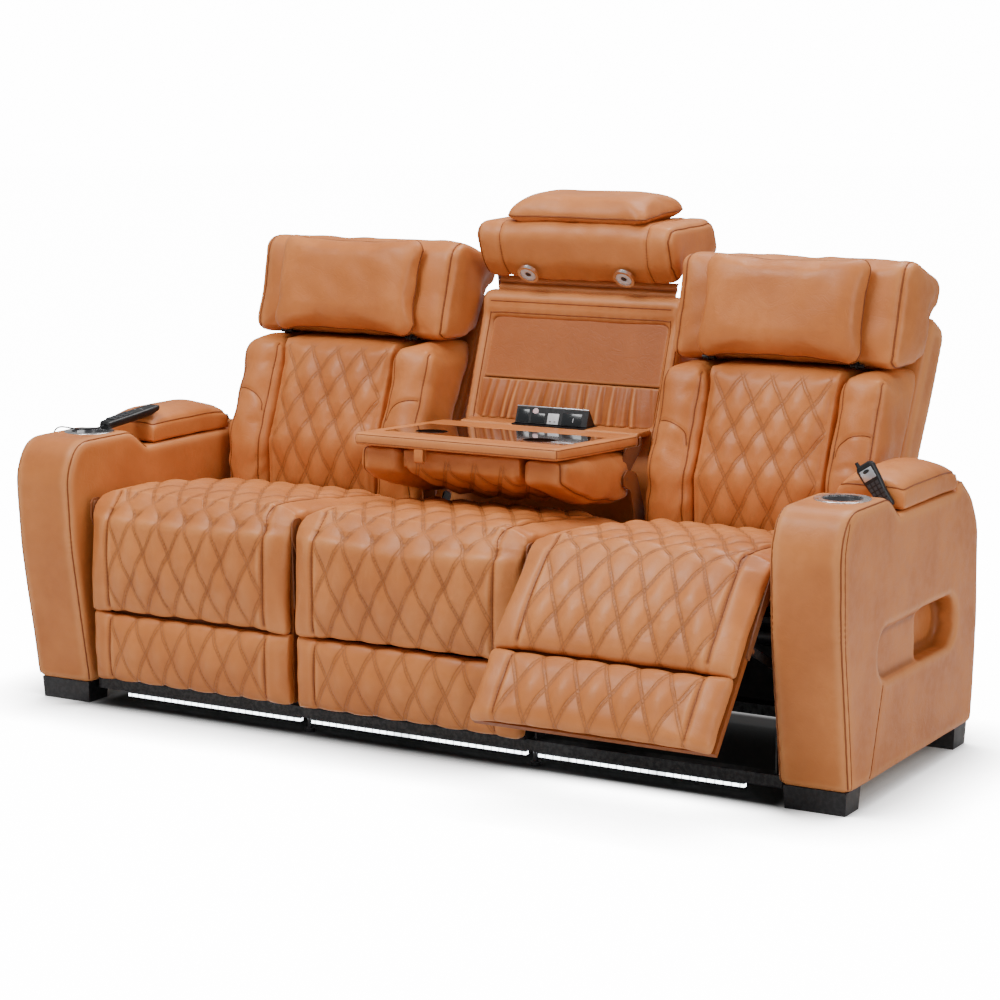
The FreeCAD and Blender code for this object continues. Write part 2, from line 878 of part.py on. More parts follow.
def lid_body():
    x0 = inner_half + lid_side_gap
    x1 = overall_width / 2 - lid_side_gap
    foot = lid_bottom + soft_gap
    sections = []
    for along, height in lid_crown_shares:
        # the boxed side is low and the padded middle high, over a flat underside
        front = foot + (lid_edge_top - foot) * height
        crown = foot + (lid_crown_z - foot) * height
        rear = foot + (lid_rear_top - foot) * height
        corners = [(lid_front, foot, lid_nose * lid_foot_share), (lid_front, front, lid_nose),
                   (lid_front + lid_rise, crown, lid_rise), (lid_rear - lid_fall, crown, lid_rise),
                   (lid_rear, rear, lid_nose * lid_foot_share), (lid_rear, foot, 0.0)]
        sections.append(rounded_wire(corners, x0 + (x1 - x0) * along))
    body = Part.makeLoft(sections, True)
    # the knuckle along the rear edge, bored for the pin
    near = inner_half + ear_inset + ear_width + lane_gap
    far = overall_width / 2 - ear_inset - ear_width - lane_gap
    knuckle = rod(near, far, lid_hinge_y, lid_hinge_z, lid_knuckle)
    knuckle = knuckle.fuse(box(near, far, lid_rear - lid_knuckle, lid_hinge_y, lid_hinge_z - lid_knuckle,
                               lid_hinge_z + lid_knuckle))
    bore = rod(near - cut_over, far + cut_over, lid_hinge_y, lid_hinge_z, lid_pin_radius + running_gap)
    return body.fuse(knuckle).cut(bore)


def lid_hinge():
    # two ears on the arm behind the lid, and the pin that they hold
    near = inner_half + ear_inset
    far = overall_width / 2 - ear_inset
    foot = lid_hinge_z - ear_drop
    pieces = rod(near, far, lid_hinge_y, lid_hinge_z, lid_pin_radius)
    for x0, x1 in ((near, near + ear_width), (far - ear_width, far)):
        ear = prism([(lid_rear + ear_front_gap, foot, 0.0),
                     (lid_rear + ear_front_gap, lid_hinge_z + lid_knuckle, ear_front_round),
                     (lid_hinge_y + lid_knuckle, lid_hinge_z + lid_knuckle, ear_rear_round),
                     (lid_hinge_y + ear_reach, foot, 0.0)], x0, x1)
        pieces = pieces.fuse(ear)
    return pieces


# Seats

def seat_loop(rear_y, half_row):
    low = deck_top + soft_gap
    front = deck_front - cut_over
    quilt = row_points((seat_quilt_front, seat_front_top), (seat_quilt_rear, seat_quilt_rear_z), half_row)
    # the front is hollowed round the rolled edge of the front pad
    hollow = []
    clear = roll_radius + roll_clearance
    for degrees in hollow_angles:
        angle = math.radians(degrees)
        hollow.append((footrest_y + clear * math.cos(angle), footrest_z + clear * math.sin(angle)))
    lead = [(front, low)] + hollow + [(seat_lip_y, seat_front_top - seat_lip_drop)]
    shoulder = [(rear_y, seat_rear_top), (rear_y, low)]
    loop = lead + quilt + shoulder
    return loop, len(lead), len(lead) + len(quilt) - 1


hollow_angles = (0.0, 20.0, 40.0)


def seat_cushion(half, rear_y):
    loop, first, last = seat_loop(rear_y, diamond_height / 2)
    return quilted_body(loop, first, last, -half, half, pad_strip, quilt_height, seat_crown)


def roll_points(start, end, count):
    points = []
    for i in range(count + 1):
        angle = math.radians(start + (end - start) * i / count)
        points.append((footrest_y + roll_radius * math.cos(angle),
                       footrest_z + roll_radius * math.sin(angle)))
    return points


def upper_pad(half, back_y):
    top = footrest_z - roll_radius * roll_foot_share
    quilt = row_points((pad_front_y, top), (pad_front_y, crease_z + pad_nose), diamond_height / 2)
    under = [(pad_front_y + crease_draw, crease_z + crease_half), (back_y, crease_z + crease_half)]
    # from the back, over the roll and down the front; the roll of a swinging pad goes further round
    if back_y < footrest_y:
        back = [(back_y, footrest_z - roll_radius - soft_gap)]
        over = roll_points(roll_start, roll_end, roll_facets)
    else:
        back = [(back_y, footrest_z - roll_radius)]
        over = roll_points(fixed_roll_start, roll_end, roll_facets)
    loop = back + over + quilt + under
    loop = [p for i, p in enumerate(loop) if i == 0 or math.dist(p, loop[i - 1]) > tiny]
    first = len(back) + len(over)
    last = first + len(quilt) - 1
    return flipped_quilt(loop, first, last, half)


roll_start = -70.0
fixed_roll_start = -60.0
roll_end = 180.0
roll_facets = 10
roll_foot_share = 0.35


def flipped_quilt(loop, first, last, half):
    # the loop runs with the solid on its left, so the proud side is outwards
    return quilted_body(loop, first, last, -half, half, pad_strip, -quilt_height, -seat_crown)


def lower_pad(half, back_y):
    top = crease_z - pad_nose
    foot = pad_bottom_z + pad_nose
    high, low = [pad_front_y + share * pad_nose for share in lower_pad_inset_shares]
    quilt = row_points((high, top), (low, foot), diamond_height / 2)
    lead = [(back_y, crease_z - crease_half), (pad_front_y + crease_draw, crease_z - crease_half)]
    tail = [(pad_front_y + pad_nose, pad_bottom_z), (back_y, pad_bottom_z)]
    loop = lead + quilt + tail
    return flipped_quilt(loop, len(lead), len(lead) + len(quilt) - 1, half)


def footrest_hardware():
    back = pad_back_y + soft_gap
    rear = back + board_thickness
    board = box(-lane_b_in, lane_b_in, back, rear, board_bottom_z, board_top_z)
    corners = [(back, arm_plate_bottom, arm_plate_corner), (back - arm_plate_step, footrest_z, arm_plate_step)]
    corners += lobe(arm_lug_shares, footrest_y, footrest_z, arm_lug)
    corners += [(rear, footrest_z - arm_plate_shoulder, arm_plate_step),
                (rear, arm_plate_bottom, arm_plate_corner)]
    tab = [(rear, bar_eye_z - tab_half, tab_corner), (rear, bar_eye_z + tab_half, tab_corner),
           (bar_eye_y, bar_eye_z + eye_radius, eye_round), (bar_eye_y + eye_radius, bar_eye_z, eye_round),
           (bar_eye_y, bar_eye_z - eye_radius, eye_round)]
    plate = prism(corners, lane_b_in, lane_b_out)
    plate = plate.fuse(rod(lane_b_in, lane_a_out, footrest_y, footrest_z, pin_radius))
    foot = prism(tab, lane_d_in, lane_d_out)
    foot = foot.fuse(rod(lane_d_out - cut_over, lane_c_out, bar_eye_y, bar_eye_z, pin_radius))
    foot = foot.fuse(rod(lane_c_out, lane_c_out + lane_gap / 2, bar_eye_y, bar_eye_z, pin_radius))
    return board, pair(plate) + pair(foot)


def pair(shape):
    return [shape, mirrored(shape)]


def crank_span():
    # from the footrest hinge to the crank's shaft, the side that stays still
    return crank_y - footrest_y, crank_z - footrest_z


def bar_shape():
    dy, dz = crank_span()
    length = math.hypot(dy, dz)
    uy = dy / length
    uz = dz / length
    half = bar_width / 2
    rounding = half * bar_round_share
    end_y = bar_eye_y + dy
    end_z = bar_eye_z + dz
    corners = [(bar_eye_y - uy * half - uz * half, bar_eye_z - uz * half + uy * half, rounding),
               (end_y + uy * half - uz * half, end_z + uz * half + uy * half, rounding),
               (end_y + uy * half + uz * half, end_z + uz * half - uy * half, rounding),
               (bar_eye_y - uy * half + uz * half, bar_eye_z - uz * half - uy * half, rounding)]
    bar = prism(corners, lane_c_in, lane_c_out)
    for y, z in ((bar_eye_y, bar_eye_z), (end_y, end_z)):
        bar = bar.cut(rod(lane_c_in - cut_over, lane_c_out + cut_over, y, z, pin_radius + running_gap))
    return pair(bar)


def crank_shape():
    tip_y = crank_y + bar_eye_y - footrest_y
    tip_z = crank_z + bar_eye_z - footrest_z
    half = bar_width / 2 + crank_margin
    rounding = half * bar_round_share
    corners = [(crank_y - half, crank_z + half, rounding), (crank_y + half, crank_z + half, rounding),
               (tip_y + half, tip_z - half, rounding), (tip_y - half, tip_z - half, rounding)]
    tube = rod(-lane_b_in, lane_b_in, crank_y, crank_z, tube_radius)
    plate = prism(corners, lane_b_in, lane_b_out)
    plate = plate.fuse(rod(lane_b_out - cut_over, lane_a_out, crank_y, crank_z, journal_radius))
    plate = plate.fuse(rod(lane_c_in, lane_b_in + cut_over, tip_y, tip_z, pin_radius))
    return [tube] + pair(plate)


def mech_plate():
    front = front_rail_y + mech_front_inset
    rear = rear_rail_y + rear_rail_depth
    deck = deck_top - mech_deck_drop
    corners = [(front, rail_top, mech_corner), (front, mech_neck_z, mech_neck_round)]
    corners += lobe(mech_nose_shares, footrest_y, footrest_z, mech_nose)
    corners += [(mech_deck_front, deck, mech_deck_front_round), (mech_deck_rear, deck, mech_deck_rear_round)]
    corners += lobe(mech_tail_shares, recline_y, recline_z, mech_tail)
    corners += [(rear, mech_heel_z, mech_heel_round), (rear, rail_top, mech_corner),
                (rear_rail_y - mech_foot, rail_top, mech_corner),
                (mech_arch_rear_y, mech_arch_rear_z, mech_arch_round),
                (mech_arch_front_y, mech_arch_front_z, mech_arch_round),
                (mech_foot_rear, rail_top, mech_corner)]
    plate = prism(corners, lane_a_in, lane_a_out)
    start = lane_a_in - cut_over
    end = lane_a_out + cut_over
    for y, z, radius in ((footrest_y, footrest_z, pin_radius), (crank_y, crank_z, journal_radius),
                         (recline_y, recline_z, journal_radius)):
        plate = plate.cut(rod(start, end, y, z, radius + running_gap))
    for share0, share1 in mech_slot_shares:
        y0 = front_rail_y + share0 * (rear - front_rail_y)
        y1 = front_rail_y + share1 * (rear - front_rail_y)
        slot = [(y0, mech_slot_low, mech_slot_round), (y0, mech_slot_high, mech_slot_round),
                (y1, mech_slot_high, mech_slot_round), (y1, mech_slot_low, mech_slot_round)]
        plate = plate.cut(prism(slot, start, end))
    return pair(plate)


def seat_deck():
    return box(-lane_a_in + soft_gap, lane_a_in - soft_gap, deck_front, seat_rear - deck_rear_gap,
               deck_top - deck_thickness, deck_top)


def drive_motor():
    under = deck_top - deck_thickness
    gear = box(-gear_half, gear_half, crank_y - gear_front, crank_y + gear_rear, crank_z - gear_drop, under)
    gear = gear.cut(rod(-gear_half - cut_over, gear_half + cut_over, crank_y, crank_z,
                        tube_radius + running_gap))
    can = rod(drive_can_start, can_end, crank_y - drive_can_forward, crank_z + drive_can_rise, can_radius)
    neck = box(drive_can_start, drive_can_start + neck_width, crank_y - neck_front, crank_y - neck_rear,
               crank_z + neck_low, crank_z + neck_high)
    return gear.fuse(can).fuse(neck)


def recline_motor():
    under = deck_top - deck_thickness
    low = recline_z - motor_arm_drop
    arm = box(-gear_half, gear_half, motor_arm_front, motor_arm_front + motor_arm_depth, low, under)
    floor = box(-gear_half, gear_half, motor_arm_front, recline_y - motor_floor_gap, low,
                recline_z - motor_floor_drop)
    hub = rod(-gear_half, gear_half, recline_y, recline_z, recline_tube_radius + hub_wall)
    can = rod(recline_can_start, can_end, recline_can_y, recline_z - recline_can_drop, can_radius)
    bore = rod(-gear_half - cut_over, gear_half + cut_over, recline_y, recline_z,
               recline_tube_radius + running_gap)
    return arm.fuse(floor).fuse(hub).fuse(can).cut(bore)


# Backs

def slab_point(along, through):
    lean = math.radians(slab_lean)
    return (slab_foot_y + along * math.sin(lean) + through * math.cos(lean),
            slab_foot_z + along * math.cos(lean) - through * math.sin(lean))


def slab_front_y(z):
    return slab_foot_y + (z - slab_foot_z) * math.tan(math.radians(slab_lean))


def slab_corners():
    a = slab_point(0.0, 0.0)
    b = slab_point(slab_length, 0.0)
    c = slab_point(slab_length, slab_thickness)
    d = slab_point(0.0, slab_thickness)
    return [a + (slab_corner_front_low,), b + (slab_corner_front_high,), c + (slab_corner_rear_high,),
            d + (slab_corner_rear_low,)]


def back_slab():
    # a slot on each side holds the foot of a head strap
    slab = crowned_prism(slab_corners(), -slab_half, slab_half, slab_round)
    low = strap_foot_low - soft_gap
    high = strap_foot_high + soft_gap
    deep = strap_foot_deep + soft_gap
    corners = [slab_point(low, -cut_over) + (0.0,), slab_point(high, -cut_over) + (0.0,),
               slab_point(high, deep) + (0.0,), slab_point(low, deep) + (0.0,)]
    slot = prism(corners, strap_in - soft_gap, strap_out + soft_gap)
    return slab.cut(slot).cut(mirrored(slot))


def quilt_back_front():
    low = (back_quilt_y, back_bottom_z + back_quilt_low)
    bend = (back_quilt_y, back_bend_z)
    high = (back_quilt_top_y, back_top_z - back_quilt_high)
    return row_points(low, bend, diamond_height / 2), row_points(bend, high, diamond_height / 2)


def back_pad():
    lower, upper = quilt_back_front()
    quilt = lower + upper[1:]
    lead = [(slab_front_y(back_bottom_z) - soft_gap, back_bottom_z), (back_quilt_y + back_hem, back_bottom_z)]
    tail = [(back_quilt_top_y + back_top_hem, back_top_z), (slab_front_y(back_top_z) - soft_gap, back_top_z)]
    loop = lead + quilt + tail
    half = back_quilt_half - wing_gap
    return quilted_body(loop, len(lead), len(lead) + len(quilt) - 1, -half, half, quilt_strip,
                        quilt_height, seat_crown)


def wing_corners():
    front = outline(wing_outline_shares, wing_front_y, back_bottom_z, wing_lean, back_top_z - back_bottom_z)
    return front + [(slab_front_y(back_top_z) - soft_gap - wing_tuck, back_top_z, wing_corner),
                    (slab_front_y(back_bottom_z) - soft_gap, back_bottom_z, wing_corner)]


def back_wings():
    wing = crowned_prism(wing_corners(), back_quilt_half, back_half, wing_round)
    return pair(wing.cut(beyond_slab()))


def beyond_slab():
    # everything behind the slab's front face, less the clearance
    low = (slab_front_y(0.0) - soft_gap, 0.0)
    high = (slab_front_y(back_top_z * 2) - soft_gap, back_top_z * 2)
    return prism([low + (0.0,), high + (0.0,), (high[0] + overall_width, high[1], 0.0),
                  (low[0] + overall_width, low[1], 0.0)], -module_half, module_half)


def back_hardware():
    # the cross tube, a plate on each side of it and a strap up to the head cushion's pin
    plate = [slab_point(a * side_plate_length, b * slab_thickness) + (r * slab_thickness,)
             for a, b, r in side_plate_shares]
    plate += lobe(side_plate_lug_shares, recline_y, recline_z, side_plate_lug)
    plate = prism(plate, lane_b_in, lane_b_out)
    plate = plate.fuse(rod(lane_b_out - cut_over, lane_a_out, recline_y, recline_z, journal_radius))
    nose = headrest_y - strap_nose
    bend = headrest_y + strap_reach
    strap = [slab_point(strap_foot_low, strap_foot_deep) + (strap_foot_corner,),
             slab_point(strap_foot_low, 0.0) + (0.0,), (bend, headrest_z - strap_nose, strap_nose),
             (nose, headrest_z - strap_nose, strap_nose_round),
             (nose, headrest_z + strap_nose, strap_nose_round),
             (bend, headrest_z + strap_bend, strap_bend_round), slab_point(strap_foot_high, 0.0) + (0.0,),
             slab_point(strap_foot_high, strap_foot_deep) + (strap_foot_corner,)]
    hook = prism(strap, strap_in, strap_out)
    hook = hook.fuse(rod(strap_in - pin_reach, strap_out + pin_reach, headrest_y, headrest_z, pin_radius))
    tube = rod(-lane_b_in, lane_b_in, recline_y, recline_z, recline_tube_radius)
    return [tube] + pair(plate) + pair(hook)


def headrest_body():
    corners = outline(headrest_shares, headrest_y - headrest_nose, headrest_z - headrest_nose, headrest_depth,
                      headrest_rise)
    body = crowned_prism(corners, -headrest_half, headrest_half, headrest_round)
    # each strap runs in a slot that is open below, so that the cushion can tip
    under = headrest_z - slot_drop
    top = headrest_z + slot_rise
    corners = [(headrest_y - slot_front, under, 0.0), (headrest_y - slot_front, top, 0.0),
               (headrest_y + slot_rear, top + slot_fall, 0.0), (headrest_y + slot_rear, under, 0.0)]
    slot = prism(corners, strap_in - slot_gap, strap_out + slot_gap)
    bore = rod(strap_in - pin_reach - slot_gap, strap_out + pin_reach + slot_gap, headrest_y, headrest_z,
               pin_radius + running_gap)
    cut = slot.fuse(bore)
    return body.cut(cut).cut(mirrored(cut))


def pillow_outline(half_w, half_h, corner, bow, w):
    # sides are arcs, drawn in where bow is positive, joined by corner arcs
    root = corner * diagonal_share
    corners = []
    for sx, sy in ((1, 1), (-1, 1), (-1, -1), (1, -1)):
        points = [(sx * half_w, sy * (half_h - corner)), (sx * (half_w - root), sy * (half_h - root)),
                  (sx * (half_w - corner), sy * half_h)]
        corners.append(points if sx * sy > 0 else points[::-1])
    edges = []
    for i, (a, b, c) in enumerate(corners):
        edges.append(Part.Arc(vec(*a, w), vec(*b, w), vec(*c, w)).toShape())
        d = corners[(i + 1) % len(corners)][0]
        mid = ((c[0] + d[0]) / 2, (c[1] + d[1]) / 2)
        pull = bow / max(tiny, math.hypot(*mid))
        mid = (mid[0] * (1 - pull), mid[1] * (1 - pull))
        edges.append(Part.Arc(vec(*c, w), vec(*mid, w), vec(*d, w)).toShape())
    return Part.Wire(edges)


diagonal_share = 0.293


def pillow_body():
    # seam in the plane w = 0, crown towards +w
    wires = []
    for depth, inset, bow in pillow_section_shares:
        w = depth * (pillow_front if depth > 0 else pillow_back)
        draw = pillow_draw * bow
        wires.append(pillow_outline(pillow_width / 2 - inset * pillow_corner,
                                    pillow_height / 2 - inset * pillow_corner, pillow_corner, draw, w))
    return Part.makeLoft(wires, True, True)


pillow_section_shares = [(-1.0, 0.9, 0.3), (-0.7, 0.35, 0.6), (0.0, 0.0, 1.0), (0.3, 0.12, 0.8),
                         (0.62, 0.45, 0.5), (0.86, 1.1, -0.6), (1.0, 2.0, -0.9)]


def placed_pillow(y, z, run, rise):
    # stands with the middle of its seam plane at (y, z), leaning back by run over rise, crown to the front
    lean = math.degrees(math.atan2(run, rise))
    pillow = turned(pillow_body(), 0.0, 0.0, quarter_turn - lean)
    return moved(pillow, 0.0, y, z)


quarter_turn = 90.0


# Middle back

def frame_corners():
    top = slab_point(slab_length, 0.0)
    front = [slab_point(0.0, 0.0) + (frame_foot_corner,), (recess_foot_y, recess_foot_z, recess_foot_round),
             (recess_head_y, recess_head_z, recess_head_round)]
    roll = outline(roll_shares, recess_head_y, recess_head_z, roll_depth, roll_rise)
    return front + roll + [(top[0] - frame_tuck_y, top[1] - frame_tuck_z, frame_corner),
                           slab_point(slab_length, slab_thickness) + (slab_corner_rear_high,),
                           slab_point(0.0, slab_thickness) + (slab_corner_rear_low,)]


def recess_line_y(z):
    slope = (recess_head_y - recess_foot_y) / (recess_head_z - recess_foot_z)
    return recess_foot_y + (z - recess_foot_z) * slope


def recess_strip(z0, z1, near, far):
    return [(recess_line_y(z0) + near, z0, 0.0), (recess_line_y(z1) + near, z1, 0.0),
            (recess_line_y(z1) + far, z1, 0.0), (recess_line_y(z0) + far, z0, 0.0)]


def middle_frame():
    body = crowned_prism(frame_corners(), -frame_half, frame_half, slab_round)
    inset = recess_inset + panel_thickness + soft_gap
    hollow = prism(recess_strip(shelf_top, recess_top, -recess_reach, inset), -recess_half, recess_half)
    body = body.cut(hollow)
    body = body.cut(box(-outlet_half - soft_gap, outlet_half + soft_gap, outlet_front - soft_gap,
                        outlet_rear + soft_gap, shelf_top - outlet_depth - outlet_wall - soft_gap,
                        shelf_top + cut_over))
    low = shelf_top - shelf_thickness - soft_gap
    body = body.cut(prism(recess_strip(low, shelf_top + cut_over, -recess_reach, soft_gap), -recess_half,
                          recess_half))
    # slots and bores for the arms of the head cushion
    slot = box(arm_slot_in, arm_slot_out, arm_slot_front, arm_slot_rear, arm_slot_low, arm_slot_top)
    slot = slot.fuse(rod(arm_slot_out - cut_over, frame_half + cut_over, middle_hinge_y, middle_hinge_z,
                         pin_radius + running_gap))
    return body.cut(slot).cut(mirrored(slot))


def recess_panel():
    near = recess_inset
    panel = prism(recess_strip(recess_bottom + soft_gap, recess_top - soft_gap, near, near + panel_thickness),
                  -recess_half + soft_gap, recess_half - soft_gap)
    return panel


def ruched_pocket():
    # a gathered leather sheet with upright pleats, from the shelf to the panel
    z0 = shelf_top + soft_gap
    z1 = recess_bottom - soft_gap
    half = recess_half - soft_gap
    count = 2 * pleats
    back_low = recess_line_y(z0) + recess_inset + panel_thickness
    back_high = recess_line_y(z1) + recess_inset + panel_thickness
    front = []
    for i in range(count + 1):
        x = -half + 2 * half * i / count
        front.append((x, pleat_depth if i % 2 else 0.0))
    low = [(x, back_low - panel_thickness - d, z0) for x, d in front]
    high = [(x, back_high - panel_thickness - d * pleat_top_share, z1) for x, d in front]
    rear_low = [(half, back_low, z0), (-half, back_low, z0)]
    rear_high = [(half, back_high, z1), (-half, back_high, z1)]
    loops = [low + rear_low, high + rear_high]
    for i in range(count):
        loops += [[low[i], low[i + 1], high[i + 1]], [low[i], high[i + 1], high[i]]]
    loops.append([low[-1], rear_low[0], rear_high[0], high[-1]])
    loops.append([low[0], rear_low[1], rear_high[1], high[0]])
    loops.append([rear_low[0], rear_low[1], rear_high[1], rear_high[0]])
    return closed_solid(loops)


pleat_top_share = 0.35


def outlet_parts():
    low = shelf_top - shelf_thickness
    shelf = prism([(shelf_front, low, shelf_edge), (shelf_front, shelf_top, shelf_round),
                   (recess_line_y(shelf_top) - soft_gap, shelf_top, 0.0),
                   (recess_line_y(low) - soft_gap, low, 0.0)], -recess_half + soft_gap, recess_half - soft_gap)
    mouth = box(-outlet_half - soft_gap, outlet_half + soft_gap, outlet_front - soft_gap,
                outlet_rear + soft_gap, low - cut_over, shelf_top + cut_over)
    shelf = shelf.cut(mouth)
    housing = box(-outlet_half, outlet_half, outlet_front, outlet_rear, shelf_top - outlet_depth - outlet_wall,
                  shelf_top + outlet_rim)
    well = box(-outlet_half + outlet_wall, outlet_half - outlet_wall, outlet_front + outlet_wall,
               outlet_rear - outlet_wall, shelf_top - outlet_depth, shelf_top + cut_over)
    pin_y = flap_hinge_y
    pin_z = shelf_top - flap_drop
    holes = rod(-outlet_half - cut_over, outlet_half + cut_over, pin_y, pin_z, flap_pin + running_gap)
    housing = housing.cut(well).cut(holes)
    base = shelf_top + flap_seat
    half = outlet_half - outlet_wall - flap_side_gap
    flap = prism([(pin_y + flap_edge, pin_z - flap_edge, flap_round),
                  (pin_y - flap_edge, pin_z - flap_edge, flap_corner), (flap_foot_y, base, flap_corner),
                  (flap_apex_y, base + flap_rise, flap_round),
                  (pin_y + flap_edge, pin_z + flap_heel, flap_corner)], -half, half)
    flap = flap.fuse(rod(-outlet_half + flap_end, outlet_half - flap_end, pin_y, pin_z, flap_pin))
    return shelf, housing, flap


def middle_head():
    corners = outline(middle_head_shares, middle_head_y, middle_head_z, middle_head_depth, middle_head_rise)
    body = crowned_prism(corners, -middle_head_half, middle_head_half, headrest_round)
    path = [(head_arm_y, head_arm_top, head_arm_round), (head_arm_y, head_arm_low, head_arm_round)]
    path += lobe(head_arm_lug_shares, middle_hinge_y, middle_hinge_z, head_arm_lug)
    near = arm_slot_in + arm_side_gap
    arm = prism(path, near, arm_slot_out - arm_side_gap)
    arm = arm.fuse(rod(near, frame_half - cut_over, middle_hinge_y, middle_hinge_z, pin_radius)).cut(body)
    # the lamps sit in the middle of the flat between the first two corners
    rear, front = corners[0], corners[1]
    slope = math.atan2(rear[1] - front[1], rear[0] - front[0])
    normal = vec(0, math.sin(slope), -math.cos(slope))
    base = vec(lamp_place, (rear[0] + front[0]) / 2, (rear[1] + front[1]) / 2) + normal * soft_gap
    lamp = Part.makeCylinder(lamp_radius, lamp_depth, base, normal)
    well_base = base + normal * (lamp_depth - lamp_well)
    well = Part.makeCylinder(lamp_radius - lamp_rim, lamp_depth, well_base, normal)
    return body, pair(arm), pair(lamp.cut(well))


# Table

def table_point(along, through):
    dy = table_rear_y - table_front_y
    dz = table_rear_z - table_front_z
    length = math.hypot(dy, dz)
    uy = dy / length
    uz = dz / length
    return (table_front_y + uy * along + uz * through, table_front_z + uz * along - uy * through)


def table_length():
    return math.hypot(table_rear_y - table_front_y, table_rear_z - table_front_z)


def table_strip(near, far, top, bottom, radius=0.0):
    return [table_point(near, top) + (radius,), table_point(far, top) + (radius,),
            table_point(far, bottom) + (radius,), table_point(near, bottom) + (radius,)]


def table_parts():
    far = insert_front + insert_depth
    board = crowned_prism(table_strip(0.0, table_length(), 0.0, table_thickness, table_round), -table_half,
                          table_half, table_end_round)
    pocket = table_strip(insert_front, far, -cut_over, insert_thickness + soft_gap)
    board = board.cut(prism(pocket, -insert_half, insert_half))
    sheet = table_strip(insert_front + soft_gap, far - soft_gap, insert_drop, insert_thickness)
    insert = prism(sheet, -insert_half + soft_gap, insert_half - soft_gap)
    y, z = table_point(insert_front + cup_well_back, 0.0)
    below = table_point(insert_front + cup_well_back, 1.0)
    down = vec(0, below[0] - y, below[1] - z)
    cups = []
    for side in (1, -1):
        top = vec(side * cup_well_place, y, z)
        hole = Part.makeCylinder(cup_well_radius + soft_gap, cup_well_depth + soft_gap + cut_over,
                                 top - down * cut_over, down)
        board = board.cut(hole)
        insert = insert.cut(hole)
        cup = Part.makeCylinder(cup_well_radius, cup_well_depth, top, down)
        cup = cup.cut(Part.makeCylinder(cup_well_radius - cup_wall, cup_well_depth - cup_wall + cut_over,
                                        top - down * cut_over, down))
        cups.append(cup)
    return board, insert, cups


def table_bracket():
    corners = lobe(bracket_lug_front_shares, table_hinge_y, table_hinge_z, bracket_lug)
    corners += [table_point(a * table_length(), b * table_thickness) + (r * table_thickness,)
                for a, b, r in bracket_shares]
    corners += lobe(bracket_lug_rear_shares, table_hinge_y, table_hinge_z, bracket_lug)
    plate = prism(corners, table_half, table_half + plate_thickness)
    return pair(plate.fuse(rod(table_half, frame_bracket_out, table_hinge_y, table_hinge_z, pin_radius)))


def frame_brackets():
    corners = [(post_front_y, post_foot_z, post_foot_round), (post_rear_y, post_foot_z, post_foot_round),
               (post_rear_y, post_waist_z, post_waist_round),
               (post_shoulder_y, post_shoulder_z, post_waist_round)]
    corners += lobe(post_lug_shares, table_hinge_y, table_hinge_z, post_lug)
    corners.append((post_front_y, post_waist_z, post_waist_round))
    plate = prism(corners, frame_bracket_in, frame_bracket_out)
    return pair(plate.cut(rod(frame_bracket_in - cut_over, frame_bracket_out + cut_over, table_hinge_y,
                              table_hinge_z, pin_radius + running_gap)))


def table_cushion():
    # hangs under the board: a quilted middle and a fat bolster at each side
    top_front = table_point(hang_front, table_thickness + soft_gap)
    top_rear = table_point(hang_rear, table_thickness + soft_gap)
    heel = (hang_heel_y, hang_heel_z)
    bend = (hang_bend_y, hang_bend_z)
    nose = (hang_nose_y, hang_nose_z)
    quilt = row_points(heel, bend, diamond_height / 2) + row_points(bend, nose, diamond_height / 2)[1:]
    lead = [top_rear, (hang_back_y, hang_back_z)]
    loop = lead + quilt + [top_front]
    half = table_half - bolster_width
    middle = quilted_body(loop, len(lead), len(lead) + len(quilt) - 1, -half, half, quilt_strip,
                          quilt_height, seat_crown)
    corners = [top_front + (bolster_corner,), top_rear + (bolster_corner,)]
    corners += outline(bolster_shares, bolster_y, bolster_z, bolster_depth, bolster_rise)
    bolster = crowned_prism(corners, half + wing_gap, table_half - soft_gap, bolster_round)
    return [middle] + pair(bolster.cut(under_board()))


def under_board():
    # the board's own space and all above it, less the clearance
    reach = table_length() + table_thickness
    return prism(table_strip(-table_thickness, reach, table_thickness + soft_gap, -table_half), -table_half,
                 table_half)


def pull_strap():
    # a folded leather loop under the table's front edge
    near = strap_inset
    far = strap_inset + strap_depth
    top = table_thickness
    low = table_thickness + strap_drop
    wall = strap_thick
    inside = strap_round - strap_thick
    outer = prism([table_point(near, top) + (0.0,), table_point(near, low) + (strap_round,),
                   table_point(far, low) + (strap_round,), table_point(far, top) + (0.0,)],
                  strap_left, strap_left + strap_width)
    inner = prism(table_strip(near + wall, far - wall, top + wall, low - wall, inside),
                  strap_left - cut_over, strap_left + strap_width + cut_over)
    return outer.cut(inner)


# Middle seat box

def middle_box():
    deck = box(-box_half, box_half, deck_front, middle_seat_rear, deck_top - deck_thickness, deck_top)
    start = pad_back_y + board_thickness
    front_rear = start + board_thickness
    front = box(-box_half, box_half, start + 2 * soft_gap, front_rear, rail_top,
                footrest_z - roll_radius - front_board_gap)
    rear = rear_rail_y + rear_rail_depth
    corners = [(front_rear, rail_top, 0.0), (front_rear, deck_top - deck_thickness, 0.0),
               (side_panel_step_share * rear, deck_top - deck_thickness, 0.0)]
    corners += outline(side_panel_shares, 0.0, 0.0, rear, deck_top)
    corners.append((rear, rail_top, 0.0))
    return [deck, front] + pair(prism(corners, frame_half + soft_gap, box_half))


front_board_gap = 6.0
side_panel_step_share = 0.8569
side_panel_shares = [(0.9434, 1.0804, 0.0251), (1.0503, 1.0804, 0.0251), (1.1006, 0.804, 0.0251),
                     (1.0, 0.6281, 0.0503)]


